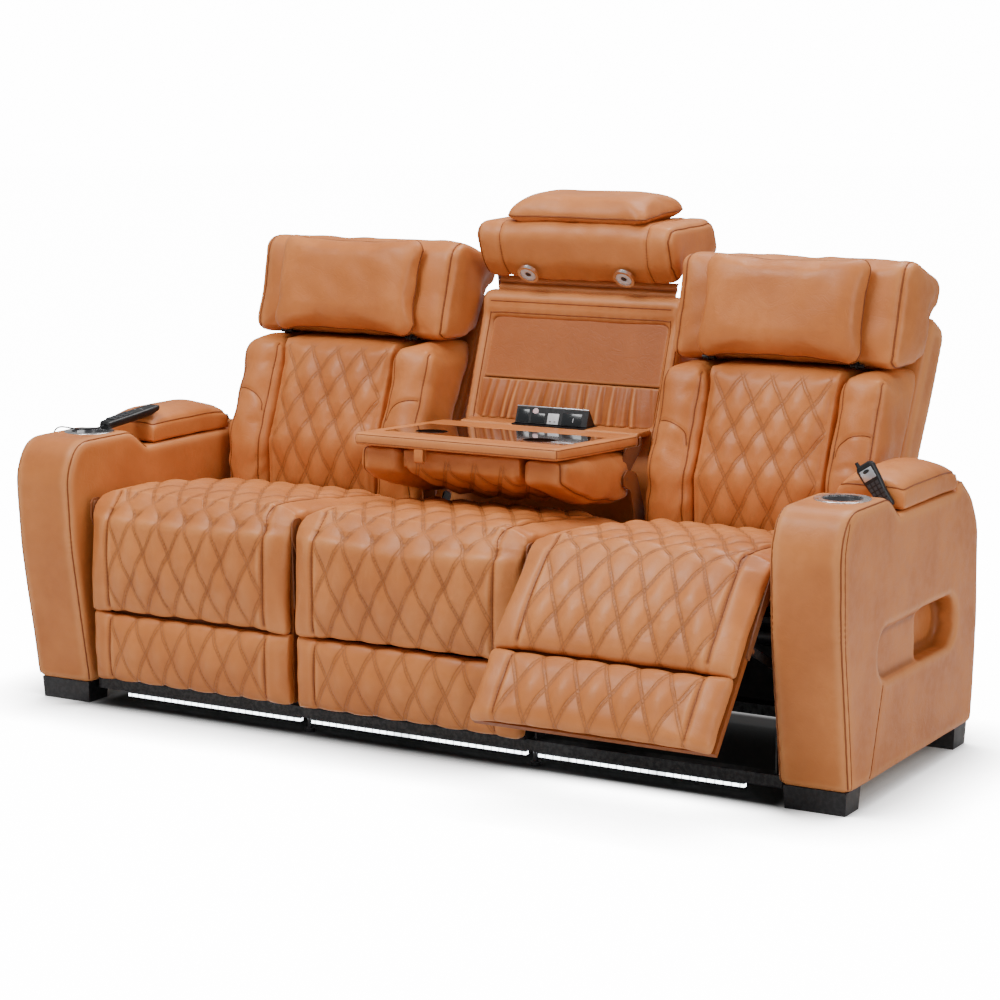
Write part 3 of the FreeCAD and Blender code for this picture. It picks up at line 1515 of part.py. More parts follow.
def rear_panel():
    # the covered board that closes the back of the base, between the arms
    reach = inner_half - soft_gap
    front = rear_rail_y + rear_rail_depth + soft_gap
    rear = front + rear_panel_depth
    return prism([(front, rail_bottom, 0.0), (front, rear_panel_top, 0.0),
                  (rear, rear_panel_top, rear_panel_round), (rear, rail_bottom, rear_panel_round)],
                 -reach, reach)


# Hand controls

def laid(shape, start, along, up):
    # local X runs along, local Z points away from what the piece lies on
    a = vec(*along).normalize()
    b = vec(*up)
    b = (b - a * b.dot(a)).normalize()
    c = b.cross(a)
    matrix = FreeCAD.Matrix(a.x, c.x, b.x, start[0], a.y, c.y, b.y, start[1], a.z, c.z, b.z, start[2],
                            0, 0, 0, 1)
    copy = shape.copy()
    copy.Placement = FreeCAD.Placement(matrix).multiply(copy.Placement)
    return copy


def wand():
    half = remote_width / 2
    sections = []
    for along, wide, tall, lift in remote_shares:
        w = half * wide
        t = remote_thickness * tall / 2
        x = remote_length * along
        z = remote_thickness * lift
        low = t * wand_low_share
        high = t * wand_high_share
        corners = [(-w, -t + z, low), (-w, t + z, high), (w, t + z, high), (w, -t + z, low)]
        sections.append(rounded_wire(corners, x))
    body = Part.makeLoft(sections, True, True)
    places = []
    for row in range(remote_rows):
        for column in (-1, 0, 1):
            places.append((remote_length * key_start_share + row * key_pitch,
                           column * (key_width + key_side_gap)))
    return keyed(body, places, key_length, key_width, remote_thickness / 2)


def keyed(body, places, length, width, top):
    # each key stands in its own well, proud of the face by its travel and a little more
    keys = []
    for x, y in places:
        key = Part.makeBox(length, width, key_height, vec(x, y - width / 2, top - key_sink))
        well = Part.makeBox(length + 2 * key_gap, width + 2 * key_gap, key_height + key_sink,
                            vec(x - key_gap, y - width / 2 - key_gap, top - key_sink - key_travel - key_gap))
        body = body.cut(well)
        keys.append(key)
    return body, keys


wand_low_share = 0.9
wand_high_share = 0.7
key_gap = 0.3
key_sink = 1.2
key_travel = 1.0
remote_shares = [(0.0, 0.7, 0.7, -0.1), (0.03, 0.85, 0.95, 0.0), (0.5, 1.0, 1.0, 0.0),
                 (0.85, 0.95, 1.0, 0.0), (0.97, 0.8, 0.7, 0.08), (1.0, 0.65, 0.45, 0.1)]
key_start_share = 0.13


def handset():
    half = handset_width / 2
    deep = handset_thickness / 2
    sections = []
    for along, wide, tall in handset_shares:
        w = half * wide
        t = deep * tall
        r = t * handset_round_share
        corners = [(-w, -t, r), (-w, t, r), (w, t, r), (w, -t, r)]
        sections.append(rounded_wire(corners, handset_length * along))
    body = Part.makeLoft(sections, True, True)
    # the stub aerial at one corner of its top
    stub = Part.makeCone(stub_radius, stub_radius * stub_taper_share, stub_length,
                         vec(handset_length - stub_bury, half - stub_radius - stub_inset, 0), vec(1, 0, 0))
    body = body.fuse(stub)
    places = []
    for row in range(handset_rows):
        for column in (-1, 0, 1):
            places.append((handset_length * handset_key_share + row * handset_pitch, column * handset_pitch))
    return keyed(body, places, handset_key, handset_key, deep * handset_face_share)


stub_taper_share = 0.6
handset_round_share = 0.8
handset_key_share = 0.12
handset_face_share = 0.93
handset_shares = [(0.0, 0.72, 0.8), (0.05, 0.82, 1.0), (0.35, 0.76, 0.92), (0.62, 0.92, 1.0),
                  (0.9, 1.0, 1.0), (0.97, 0.86, 0.85), (1.0, 0.6, 0.5)]


# The thin lead of the left control, points chosen by hand
cord_points = [(-985.1, 164.7, 668.5), (-988.4, 149.5, 665.9), (-996.0, 134.0, 664.0),
               (-1012.0, 121.0, 663.5), (-1033.0, 113.0, 664.0), (-1055.0, 108.0, 666.5),
               (-1075.0, 107.0, 667.5), (-1093.0, 108.0, 659.5), (-1102.0, 111.0, 640.0),
               (-1103.5, 114.0, 615.0), (-1102.5, 116.0, 590.0), (-1102.0, 116.0, 573.0),
               (-1098.0, 116.0, 562.0), (-1089.0, 116.0, 560.0)]


def cord_tube():
    points = [vec(*p) for p in cord_points]
    edges = []
    here = points[0]
    radii = []
    for i in range(1, len(points) - 1):
        back = points[i - 1] - points[i]
        ahead = points[i + 1] - points[i]
        shorter = min(back.Length, ahead.Length)
        turn = math.pi - back.getAngle(ahead)
        radius = arc_share * shorter / math.tan(turn / 2)
        radii.append(radius)
        reach = radius * math.tan(turn / 2)
        start = points[i] + back.normalize() * reach
        end = points[i] + ahead.normalize() * reach
        bisector = (back + ahead).normalize()
        mid = points[i] + bisector * (radius / math.cos(turn / 2) - radius)
        edges.append(Part.LineSegment(here, start).toShape())
        edges.append(Part.Arc(start, mid, end).toShape())
        here = end
    edges.append(Part.LineSegment(here, points[-1]).toShape())
    path = Part.Wire(edges)
    first = points[1] - points[0]
    circle = Part.Wire(Part.Circle(points[0], first, cord_radius).toShape())
    tube = path.makePipeShell([circle], True, False)
    length = sum(e.Length for e in edges)
    print("cord radii", [round(r) for r in radii], "length", round(length),
          "volume ratio", round(tube.Volume / (math.pi * cord_radius ** 2 * length), 4))
    return tube


arc_share = 0.45


def compound(pieces):
    return Part.makeCompound(pieces) if len(pieces) > 1 else pieces[0]


nodes = {}


def legs_and_glides():
    pieces = []
    x = inner_half + leg_side_inset
    for y in (arm_foot_front + leg_front_inset, arm_foot_rear - leg_front_inset - leg_depth):
        foot = leg_outline(x + leg_taper, y + leg_taper, 0.0, leg_taper)
        top = leg_outline(x, y, leg_height, 0.0)
        pieces += pair(Part.makeLoft([foot, top], True, True))
    x = side_inner - seat_gap / 2
    for y in (front_rail_y + front_rail_depth / 2, rear_rail_y + rear_rail_depth / 2):
        foot = post(x, y, 0, glide_pad, glide_radius)
        pieces += pair(foot.fuse(post(x, y, glide_pad - cut_over, rail_bottom, glide_stem_radius)))
    return pieces


def leg_outline(x, y, z, taper):
    x1 = x + leg_width - 2 * taper
    y1 = y + leg_depth - 2 * taper
    return Part.makePolygon([vec(x, y, z), vec(x1, y, z), vec(x1, y1, z), vec(x, y1, z), vec(x, y, z)])


def rails():
    pieces = []
    reach = inner_half - soft_gap
    for y, depth in ((front_rail_y, front_rail_depth), (rear_rail_y, rear_rail_depth)):
        rail = box(-reach, reach, y, y + depth, rail_bottom, rail_top)
        pieces.append(rail.cut(box(-reach - cut_over, reach + cut_over, y + rail_wall, y + depth - rail_wall,
                                   rail_bottom + rail_wall, rail_top - rail_wall)))
    return pieces


def light_bars():
    # one length under each seat, parted at the joints between them
    joint = side_inner - seat_gap / 2
    y = front_rail_y + light_inset
    spans = ((-light_half_length, -joint - light_joint), (-joint + light_joint, joint - light_joint),
             (joint + light_joint, light_half_length))
    return [box(x0, x1, y, y + light_depth, rail_bottom - light_height, rail_bottom) for x0, x1 in spans]


def power_supply():
    block = box(-supply_left, supply_right, rear_rail_y - supply_front, rear_rail_y + supply_rear, rail_top,
                rail_top + supply_height)
    return block.makeFillet(supply_round, block.Edges)


def add_arms():
    cover, frame, cup, tray = arm_parts()
    lid = lid_body()
    nodes["arm_cover_right"] = cover
    # the left arm has a hole for the lead's grommet
    face = -overall_width / 2
    nodes["cord_grommet"] = rod(face, face + grommet_depth, grommet_y, grommet_z, grommet_radius)
    hole = rod(face - cut_over, face + grommet_depth + soft_gap, grommet_y, grommet_z,
               grommet_radius + soft_gap)
    nodes["arm_cover_left"] = mirrored(cover).cut(hole)
    nodes["arm_frames"] = compound(pair(frame))
    nodes["cup_holders"] = compound(pair(cup))
    nodes["lid_hinges"] = compound(pair(lid_hinge()))
    nodes["storage_bins"] = compound(pair(tray))
    nodes["arm_lid_right"] = lid
    nodes["arm_lid_left"] = mirrored(lid)


def add_base():
    plates = []
    decks = []
    motors = []
    for side in (1, -1):
        x = side * side_centre
        plates += [moved(p, x) for p in mech_plate()]
        decks.append(moved(seat_deck(), x))
        motors += [moved(drive_motor(), x), moved(recline_motor(), x)]
    nodes["light_bar"] = compound(light_bars())
    nodes["legs"] = compound(legs_and_glides())
    nodes["base_frame"] = compound(rails() + plates + frame_brackets())
    nodes["seat_boxes"] = compound(decks + middle_box() + [rear_panel()])
    nodes["drive_units"] = compound(motors + [power_supply()])


def add_seats():
    cushion = seat_cushion(seat_half, seat_rear)
    nodes["seat_cushion_left"] = moved(cushion, -side_centre)
    nodes["seat_cushion_right"] = moved(cushion, side_centre)
    half = middle_half_width - soft_gap
    nodes["seat_cushion_middle"] = seat_cushion(half, middle_seat_rear)
    fixed_back = pad_back_y + board_thickness + soft_gap
    nodes["front_pads_middle"] = compound([upper_pad(half, fixed_back), lower_pad(half, fixed_back)])


def opened(shapes, angle, x):
    # swung about the footrest's hinge and moved to its seat
    return compound([moved(turned(s, footrest_y, footrest_z, angle), x) for s in shapes])


def add_footrests():
    pads = [upper_pad(back_half, pad_back_y), lower_pad(back_half, pad_back_y)]
    board, arms = footrest_hardware()
    for name, side, angle in (("left", -1, 0.0), ("right", 1, -footrest_open_rest)):
        x = side * side_centre
        nodes["footrest_pads_" + name] = opened(pads, angle, x)
        nodes["footrest_board_" + name] = opened([board], angle, x)
        nodes["footrest_arms_" + name] = opened(arms, angle, x)
        nodes["footrest_cranks_" + name] = compound([moved(turned(p, crank_y, crank_z, angle), x)
                                                     for p in crank_shape()])
        # the push bar shifts without turning
        eye = turned_point((bar_eye_y, bar_eye_z), footrest_y, footrest_z, angle)
        nodes["push_bars_" + name] = compound([moved(b, x, eye[0] - bar_eye_y, eye[1] - bar_eye_z)
                                               for b in bar_shape()])


def add_backs():
    pillow = placed_pillow(headrest_y + pillow_ahead, headrest_z + pillow_above, pillow_lean_run,
                           pillow_lean_rise)
    pieces = {"back_slab": [back_slab()], "back_quilt": [back_pad()], "back_wings": back_wings(),
              "back_hardware": back_hardware(), "headrest": [headrest_body()], "head_pillow": [pillow]}
    for name, side in (("left", -1), ("right", 1)):
        for piece, shapes in pieces.items():
            nodes[piece + "_" + name] = compound([moved(s, side * side_centre) for s in shapes])


def raised(shapes):
    return compound([turned(s, middle_hinge_y, middle_hinge_z, -middle_raise) for s in shapes])


def add_middle_back():
    nodes["middle_back_frame"] = middle_frame()
    nodes["ruched_pocket"] = ruched_pocket()
    shelf, housing, flap = outlet_parts()
    nodes["recess_panels"] = compound([recess_panel(), shelf])
    nodes["outlet_housing"] = housing
    nodes["outlet_flap"] = flap
    body, arms, lamps = middle_head()
    nodes["headrest_middle"] = raised([body])
    nodes["headrest_arms_middle"] = raised(arms)
    nodes["reading_lamps"] = raised(lamps)
    nodes["head_pillow_middle"] = raised([placed_pillow(middle_pillow_y, middle_pillow_z, pillow_lean_run,
                                                        middle_pillow_rise)])
    board, insert, cups = table_parts()
    nodes["table_board"] = board
    nodes["table_insert"] = insert
    nodes["table_cups"] = compound(cups)
    nodes["table_brackets"] = compound(table_bracket())
    nodes["table_cushion"] = compound(table_cushion())
    nodes["pull_strap"] = pull_strap()


def add_controls():
    body, keys = wand()
    low = (remote_inset - arm_middle, remote_y, remote_z)
    up = (0.0, 0.0, 1.0)
    nodes["remote_left"] = laid(body, low, remote_lean_shares, up)
    nodes["remote_keys_left"] = compound([laid(k, low, remote_lean_shares, up) for k in keys])
    body, keys = handset()
    angle = math.radians(handset_lean)
    along = (-math.sin(angle), 0.0, math.cos(angle))
    low = (arm_middle + handset_outset, handset_y, handset_z)
    front = (0.0, -1.0, 0.0)
    nodes["handset_right"] = laid(body, low, along, front)
    nodes["handset_keys_right"] = compound([laid(k, low, along, front) for k in keys])
    nodes["remote_cord_left"] = cord_tube()


def main():
    add_arms()
    add_base()
    add_seats()
    add_footrests()
    add_backs()
    add_middle_back()
    add_controls()
    write_all()


def centre_depth():
    # the middle of the whole sofa's depth, lead aside
    lows = []
    highs = []
    for name, shape in nodes.items():
        if name in ("remote_cord_left", "cord_grommet"):
            continue
        bounds = shape.optimalBoundingBox(False)
        lows.append(bounds.YMin)
        highs.append(bounds.YMax)
    return (min(lows) + max(highs)) / 2


def write_all():
    os.makedirs("parts", exist_ok=True)
    centre = centre_depth()
    print("depth centre", round(centre, 3))
    for name, shape in nodes.items():
        nodes[name] = moved(shape, y=-centre)
    for name, shape in nodes.items():
        shape.exportStep("parts/" + name + ".step")
    print(len(nodes), "nodes")


main()
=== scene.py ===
import json
import math

import bmesh
import bpy
import numpy as np
from mathutils import Matrix, Vector, kdtree
from mathutils.bvhtree import BVHTree

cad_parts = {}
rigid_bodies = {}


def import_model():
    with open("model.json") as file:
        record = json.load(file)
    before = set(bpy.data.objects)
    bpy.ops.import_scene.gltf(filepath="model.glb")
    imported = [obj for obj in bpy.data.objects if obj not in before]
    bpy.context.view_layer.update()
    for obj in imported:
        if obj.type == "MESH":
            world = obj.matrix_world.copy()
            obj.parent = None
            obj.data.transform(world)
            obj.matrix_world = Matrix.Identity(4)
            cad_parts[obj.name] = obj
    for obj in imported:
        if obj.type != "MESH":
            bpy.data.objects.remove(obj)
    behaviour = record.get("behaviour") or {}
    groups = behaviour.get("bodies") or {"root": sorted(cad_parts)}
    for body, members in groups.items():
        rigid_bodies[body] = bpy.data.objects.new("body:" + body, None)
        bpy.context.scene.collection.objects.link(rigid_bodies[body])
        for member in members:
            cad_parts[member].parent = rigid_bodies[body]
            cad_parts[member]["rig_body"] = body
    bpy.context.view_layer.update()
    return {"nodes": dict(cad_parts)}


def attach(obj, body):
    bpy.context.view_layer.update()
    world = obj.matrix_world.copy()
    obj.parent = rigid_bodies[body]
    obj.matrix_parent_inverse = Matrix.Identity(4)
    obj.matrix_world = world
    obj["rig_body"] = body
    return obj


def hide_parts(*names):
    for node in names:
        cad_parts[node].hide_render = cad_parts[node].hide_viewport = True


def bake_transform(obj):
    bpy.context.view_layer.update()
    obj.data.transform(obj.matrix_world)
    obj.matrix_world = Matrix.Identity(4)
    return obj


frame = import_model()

scene = bpy.context.scene

# the shapes are given in millimetres from the front of the sofa, as in the part's source
depthCentre = 395.978
sideCentre = 607.5
seatPivot = (22.0, 496.0)
openAngle = 39.0


def rowPoint(x, y, z):
    return Vector((x / 1000, (y - depthCentre) / 1000, z / 1000))


def turnedAbout(y, z, pivot, degrees):
    angle = math.radians(degrees)
    dy, dz = y - pivot[0], z - pivot[1]
    return (pivot[0] + dy * math.cos(angle) - dz * math.sin(angle),
            pivot[1] + dy * math.sin(angle) + dz * math.cos(angle))


# camera and stage

cameraSettings = {"place": (3.1978, -5.50768, 1.608), "tilt": 80.4, "turn": 30.0, "lens": 97.47}


def addCamera(settings):
    data = bpy.data.cameras.new("camera")
    data.lens = settings["lens"]
    data.sensor_width = 36.0
    data.clip_end = 60.0
    camera = bpy.data.objects.new("camera", data)
    camera.location = settings["place"]
    camera.rotation_euler = (math.radians(settings["tilt"]), 0.0, math.radians(settings["turn"]))
    scene.collection.objects.link(camera)
    scene.camera = camera


addCamera(cameraSettings)

lightSettings = {
    "world": 0.40,
    "backdrop": 15.0,
    "softboxes": [
        # place, looks at, size, strength
        ((-1.2, -2.4, 4.6), (0.0, 0.0, 0.5), 2.0, 185.0),
        ((4.2, -1.6, 2.4), (0.4, 0.0, 0.5), 2.2, 62.0),
        ((0.4, 1.6, 4.4), (0.0, 0.0, 0.6), 2.4, 140.0),
    ],
}


def addLights(settings):
    world = bpy.data.worlds.new("studio")
    scene.world = world
    world.use_nodes = True
    tree = world.node_tree
    background = tree.nodes["Background"]
    background.inputs["Color"].default_value = (1.0, 1.0, 1.0, 1.0)
    # white behind the object, softer as a light
    seen = tree.nodes.new("ShaderNodeLightPath").outputs["Is Camera Ray"]
    strength = tree.nodes.new("ShaderNodeMapRange")
    strength.inputs["To Min"].default_value = settings["world"]
    strength.inputs["To Max"].default_value = settings["backdrop"]
    tree.links.new(seen, strength.inputs["Value"])
    tree.links.new(strength.outputs["Result"], background.inputs["Strength"])
    for i, (place, target, size, strength) in enumerate(settings["softboxes"]):
        data = bpy.data.lights.new(f"softbox{i}", "AREA")
        data.size = size
        data.energy = strength
        lamp = bpy.data.objects.new(f"softbox{i}", data)
        lamp.location = place
        lamp.rotation_euler = (Vector(target) - Vector(place)).to_track_quat("-Z", "Y").to_euler()
        scene.collection.objects.link(lamp)


addLights(lightSettings)

# node helpers

def feed(tree, node, inputs):
    # sockets are linked, values are set
    for socket, value in inputs.items():
        if isinstance(value, bpy.types.NodeSocket):
            tree.links.new(value, node.inputs[socket])
        else:
            node.inputs[socket].default_value = value


def addNode(tree, kind, inputs=None, **values):
    made = tree.nodes.new(kind)
    for name, value in values.items():
        setattr(made, name, value)
    feed(tree, made, inputs or {})
    return made


def newGroup(name, inputs, outputs):
    tree = bpy.data.node_groups.new(name, "ShaderNodeTree")
    for socketName, kind, value in inputs:
        socket = tree.interface.new_socket(socketName, in_out="INPUT", socket_type="NodeSocket" + kind)
        if value is not None:
            socket.default_value = value
    for socketName, kind in outputs:
        tree.interface.new_socket(socketName, in_out="OUTPUT", socket_type="NodeSocket" + kind)
    return tree, tree.nodes.new("NodeGroupInput"), tree.nodes.new("NodeGroupOutput")


def mathNode(tree, operation, a, b=0.0):
    return addNode(tree, "ShaderNodeMath", {0: a, 1: b}, operation=operation).outputs[0]


def times(tree, a, b):
    return mathNode(tree, "MULTIPLY", a, b)


def noiseNode(tree, vector, **inputs):
    return addNode(tree, "ShaderNodeTexNoise", {"Vector": vector, **inputs}).outputs["Fac"]


def separated(tree, vector):
    return addNode(tree, "ShaderNodeSeparateXYZ", {0: vector}).outputs


def rampNode(tree, value, low, high, outLow=0.0, outHigh=1.0):
    return addNode(tree, "ShaderNodeMapRange", {0: value, 1: low, 2: high, 3: outLow, 4: outHigh},
                   interpolation_type="SMOOTHSTEP").outputs[0]


def mixColour(tree, share, a, b):
    return addNode(tree, "ShaderNodeMix", {0: share, 6: a, 7: b}, data_type="RGBA").outputs[2]


def objectPlace(tree):
    return addNode(tree, "ShaderNodeTexCoord").outputs["Object"]


def bumpFrom(tree, shader, height, strength, distance):
    bump = addNode(tree, "ShaderNodeBump", {"Strength": strength, "Distance": distance, "Height": height})
    tree.links.new(bump.outputs[0], shader.inputs["Normal"])


# hide grain: pebbles, fine wrinkles and slow changes of tone
def grainGroup():
    tree, start, end = newGroup("hideGrain", [("Vector", "Vector", None), ("Scale", "Float", 1.0)],
                                [("Height", "Float"), ("Cloud", "Float"), ("Mottle", "Float")])
    vector, scale = start.outputs["Vector"], start.outputs["Scale"]
    place = addNode(tree, "ShaderNodeVectorMath", {0: vector, "Scale": scale}, operation="SCALE").outputs[0]
    cloud = noiseNode(tree, place, Scale=5.5, Detail=3.0, Roughness=0.5)
    mottle = noiseNode(tree, place, Scale=42.0, Detail=5.0, Roughness=0.6)
    pebble = addNode(tree, "ShaderNodeTexVoronoi", {"Vector": place, "Scale": 430.0, "Randomness": 1.0},
                     feature="SMOOTH_F1")
    crease = noiseNode(tree, place, Scale=26.0, Detail=4.0, Roughness=0.55, Distortion=1.4)
    ridge = mathNode(tree, "ABSOLUTE", mathNode(tree, "SUBTRACT", crease, 0.5))
    ridge = rampNode(tree, ridge, 0.0, 0.09)
    fine = times(tree, pebble.outputs["Distance"], 0.35)
    height = mathNode(tree, "ADD", fine, times(tree, ridge, 0.4))
    height = mathNode(tree, "ADD", height, times(tree, mottle, 0.6))
    feed(tree, end, {"Height": height, "Cloud": cloud, "Mottle": mottle})
    return tree


# quilting: two rows of stitches along each diamond's side, from the lattice coordinates
def quiltGroup():
    tree, start, end = newGroup("diamondStitch", [("Lattice", "Vector", None), ("Mask", "Float", 1.0)],
                                [("Height", "Float"), ("Thread", "Float"), ("Channel", "Float")])
    u, v = separated(tree, start.outputs["Lattice"])[:2]
    halfSum = times(tree, mathNode(tree, "ADD", u, v), 0.5)
    halfGap = times(tree, mathNode(tree, "SUBTRACT", u, v), 0.5)
    parts = {"Height": [], "Thread": [], "Channel": []}
    for across, along in ((halfSum, halfGap), (halfGap, halfSum)):
        away = times(tree, mathNode(tree, "PINGPONG", across, 0.5), 65.8)
        row = mathNode(tree, "ABSOLUTE", mathNode(tree, "SUBTRACT", away, 3.4))
        parts["Height"].append(rampNode(tree, row, 0.0, 1.7, 1.0, 0.0))
        dash = mathNode(tree, "PINGPONG", times(tree, along, 33.0), 0.5)
        dash = rampNode(tree, dash, 0.1, 0.2)
        parts["Thread"].append(times(tree, dash, rampNode(tree, row, 0.2, 0.9, 1.0, 0.0)))
        parts["Channel"].append(rampNode(tree, away, 3.0, 11.0, 1.0, 0.0))
    for name, both in parts.items():
        feed(tree, end, {name: times(tree, mathNode(tree, "MAXIMUM", *both), start.outputs["Mask"])})
    return tree


# edge wear for painted and moulded pieces
def wearGroup():
    tree, start, end = newGroup("edgeWear", [("Vector", "Vector", None), ("Amount", "Float", 1.0)],
                                [("Mask", "Float"), ("Dust", "Float")])
    edge = addNode(tree, "ShaderNodeNewGeometry").outputs["Pointiness"]
    edge = rampNode(tree, edge, 0.52, 0.6)
    vector = start.outputs["Vector"]
    broken = rampNode(tree, noiseNode(tree, vector, Scale=90.0, Detail=6.0, Roughness=0.7), 0.42, 0.6)
    mask = times(tree, times(tree, edge, broken), start.outputs["Amount"])
    feed(tree, end, {"Mask": mask, "Dust": noiseNode(tree, vector, Scale=18.0, Detail=5.0)})
    return tree


hideGrain = grainGroup()
diamondStitch = quiltGroup()
edgeWear = wearGroup()


def useGroup(tree, group, inputs):
    made = addNode(tree, "ShaderNodeGroup", node_tree=group)
    feed(tree, made, inputs)
    return made


def newMaterial(name):
    material = bpy.data.materials.new(name)
    material.use_nodes = True
    tree = material.node_tree
    return material, tree, tree.nodes["Principled BSDF"]


def leather(name, settings, quilted=False):
    material, tree, shader = newMaterial(name)
    place = objectPlace(tree)
    grain = useGroup(tree, hideGrain, {"Vector": place, "Scale": 1.0})
    wear = addNode(tree, "ShaderNodeAttribute", attribute_name="ridge").outputs["Fac"]
    cloud, mottle = grain.outputs["Cloud"], grain.outputs["Mottle"]
    base = mixColour(tree, rampNode(tree, cloud, 0.35, 0.65), settings["deep"], settings["pale"])
    base = mixColour(tree, rampNode(tree, mottle, 0.38, 0.66, 0.0, 0.5), base, settings["spot"])
    # lighter tops where the surface stands out: partly wear, partly painted highlight
    lit = rampNode(tree, wear, 0.52, 0.95, 0.0, settings["wear"])
    base = mixColour(tree, lit, base, settings["worn"])
    # painted shade: the crease colour where the surface sinks below its surroundings
    low = rampNode(tree, wear, 0.05, 0.48, 0.55, 0.0)
    base = mixColour(tree, low, base, settings["crease"])
    height = times(tree, grain.outputs["Height"], 0.5)
    if quilted:
        lattice = addNode(tree, "ShaderNodeUVMap", uv_map="quilt").outputs[0]
        mask = addNode(tree, "ShaderNodeAttribute", attribute_name="quiltMask").outputs["Fac"]
        stitch = useGroup(tree, diamondStitch, {"Lattice": lattice, "Mask": mask})
        # painted shade: the seam channels and stitch grooves are darkened with the crease colour; the thread
        # keeps its own colour
        effects = (("Channel", 0.10, "crease"), ("Height", 0.42, "crease"), ("Thread", 0.4, "thread"))
        for effect, share, tone in effects:
            base = mixColour(tree, times(tree, stitch.outputs[effect], share), base, settings[tone])
        height = mathNode(tree, "SUBTRACT", height, times(tree, stitch.outputs["Height"], 1.6))
        height = mathNode(tree, "ADD", height, times(tree, stitch.outputs["Thread"], 0.5))
    rough = rampNode(tree, mottle, 0.3, 0.7, settings["rough"] + 0.06, settings["rough"] - 0.06)
    feed(tree, shader, {"Base Color": base, "Roughness": rough, "Specular IOR Level": 0.30})
    bumpFrom(tree, shader, height, settings["bump"], 0.0012)
    return material


# crease is the painted shade colour for creases, seam channels and stitch grooves; worn is the lighter tone
# of the tops, partly wear and partly painted highlight
tan = {"deep": (0.50, 0.158, 0.041, 1), "pale": (0.62, 0.213, 0.059, 1), "spot": (0.55, 0.176, 0.044, 1),
       "worn": (0.74, 0.32, 0.12, 1), "crease": (0.13, 0.030, 0.005, 1), "thread": (0.55, 0.24, 0.09, 1),
       "wear": 0.45, "rough": 0.43, "bump": 0.55}
tanLeather = leather("tanLeather", tan)
quiltedLeather = leather("quiltedLeather", tan, quilted=True)
# a darker copy of the tan leather, painted shade for the recessed panel, the gusset and the footrest boards
shade = dict(tan, deep=(0.40, 0.115, 0.028, 1), pale=(0.47, 0.142, 0.036, 1), spot=(0.43, 0.124, 0.030, 1))
shadedPanelLeather = leather("shadedPanelLeather", shade)
# darker still, painted shade for the gathered pocket deep in the recess
shadedPocketLeather = leather("shadedPocketLeather", dict(tan, deep=(0.36, 0.10, 0.022, 1), pale=(0.44, 0.13, 0.030, 1),
                                              spot=(0.40, 0.115, 0.026, 1), wear=0.6))
# darker tan for the piping cords: partly their dark brown edge paint, partly painted shade along the seams
pipingLeather = leather("pipingLeather", dict(tan, deep=(0.34, 0.098, 0.020, 1), pale=(0.42, 0.128, 0.028, 1),
                                              spot=(0.38, 0.112, 0.024, 1), wear=0.2))


def moulded(name, colour, rough, metal=0.0, scale=300.0, bump=0.15, worn=None, coat=0.0, wearAmount=0.5):
    # plastics, paints and metals: fine texture, dust and worn edges
    material, tree, shader = newMaterial(name)
    place = objectPlace(tree)
    wear = useGroup(tree, edgeWear, {"Vector": place, "Amount": wearAmount})
    tone = rampNode(tree, wear.outputs["Dust"], 0.35, 0.7, 0.0, 0.25)
    lighter = tuple(min(1.0, c * 1.5 + 0.004) for c in colour[:3]) + (1,)
    base = mixColour(tree, tone, colour, lighter)
    base = mixColour(tree, wear.outputs["Mask"], base, worn or lighter)
    roughness = rampNode(tree, wear.outputs["Dust"], 0.3, 0.7, rough * 0.88, rough * 1.15)
    feed(tree, shader, {"Base Color": base, "Roughness": roughness, "Metallic": metal, "Coat Weight": coat})
    bumpFrom(tree, shader, noiseNode(tree, place, Scale=scale, Detail=3.0), bump, 0.0004)
    return material


def brushed(name, colour, rough, axisScale):
    # metal with fine lines across it
    material, tree, shader = newMaterial(name)
    place = objectPlace(tree)
    stretched = addNode(tree, "ShaderNodeMapping", {"Vector": place, "Scale": axisScale}).outputs[0]
    lines = noiseNode(tree, stretched, Scale=60.0, Detail=4.0)
    darker = tuple(c * 0.72 for c in colour[:3]) + (1,)
    base = mixColour(tree, rampNode(tree, lines, 0.35, 0.65), darker, colour)
    roughness = rampNode(tree, lines, 0.3, 0.7, rough * 0.8, rough * 1.3)
    feed(tree, shader, {"Base Color": base, "Roughness": roughness, "Metallic": 1.0})
    bumpFrom(tree, shader, lines, 0.08, 0.0002)
    return material


def board(name, colour, dark):
    # bare ply with its grain along the board
    material, tree, shader = newMaterial(name)
    place = objectPlace(tree)
    drawn = addNode(tree, "ShaderNodeMapping", {"Vector": place, "Scale": (2.0, 14.0, 14.0)}).outputs[0]
    rings = noiseNode(tree, drawn, Scale=6.0, Detail=6.0, Distortion=0.8)
    base = mixColour(tree, rampNode(tree, rings, 0.35, 0.65), dark, colour)
    feed(tree, shader, {"Base Color": base, "Roughness": rampNode(tree, rings, 0.3, 0.7, 0.7, 0.55)})
    bumpFrom(tree, shader, rings, 0.2, 0.0006)
    return material


def lightStrip(name):
    # clear strip with a row of bright diodes and darker gaps between them
    material, tree, shader = newMaterial(name)
    place = objectPlace(tree)
    along, _, up = separated(tree, place)
    dots = mathNode(tree, "PINGPONG", times(tree, along, 50.0), 0.5)
    dots = rampNode(tree, dots, 0.02, 0.16, 0.3, 1.0)
    band = mathNode(tree, "ABSOLUTE", mathNode(tree, "SUBTRACT", up, 0.0285))
    dots = times(tree, dots, rampNode(tree, band, 0.0025, 0.0042, 1.0, 0.0))
    breaks = addNode(tree, "ShaderNodeTexNoise", {"W": times(tree, along, 9.0), "Scale": 1.0},
                     noise_dimensions="1D")
    breaks = rampNode(tree, breaks.outputs["Fac"], 0.34, 0.44, 0.5, 1.0)
    glow = times(tree, dots, breaks)
    base = mixColour(tree, glow, (0.01, 0.012, 0.014, 1), (0.92, 0.97, 1.0, 1))
    light = mixColour(tree, glow, (0.001, 0.0012, 0.0014, 1), (0.90, 0.97, 1.0, 1))
    feed(tree, shader, {"Base Color": base, "Emission Color": light, "Emission Strength": 9.0,
                        "Roughness": 0.3})
    return material


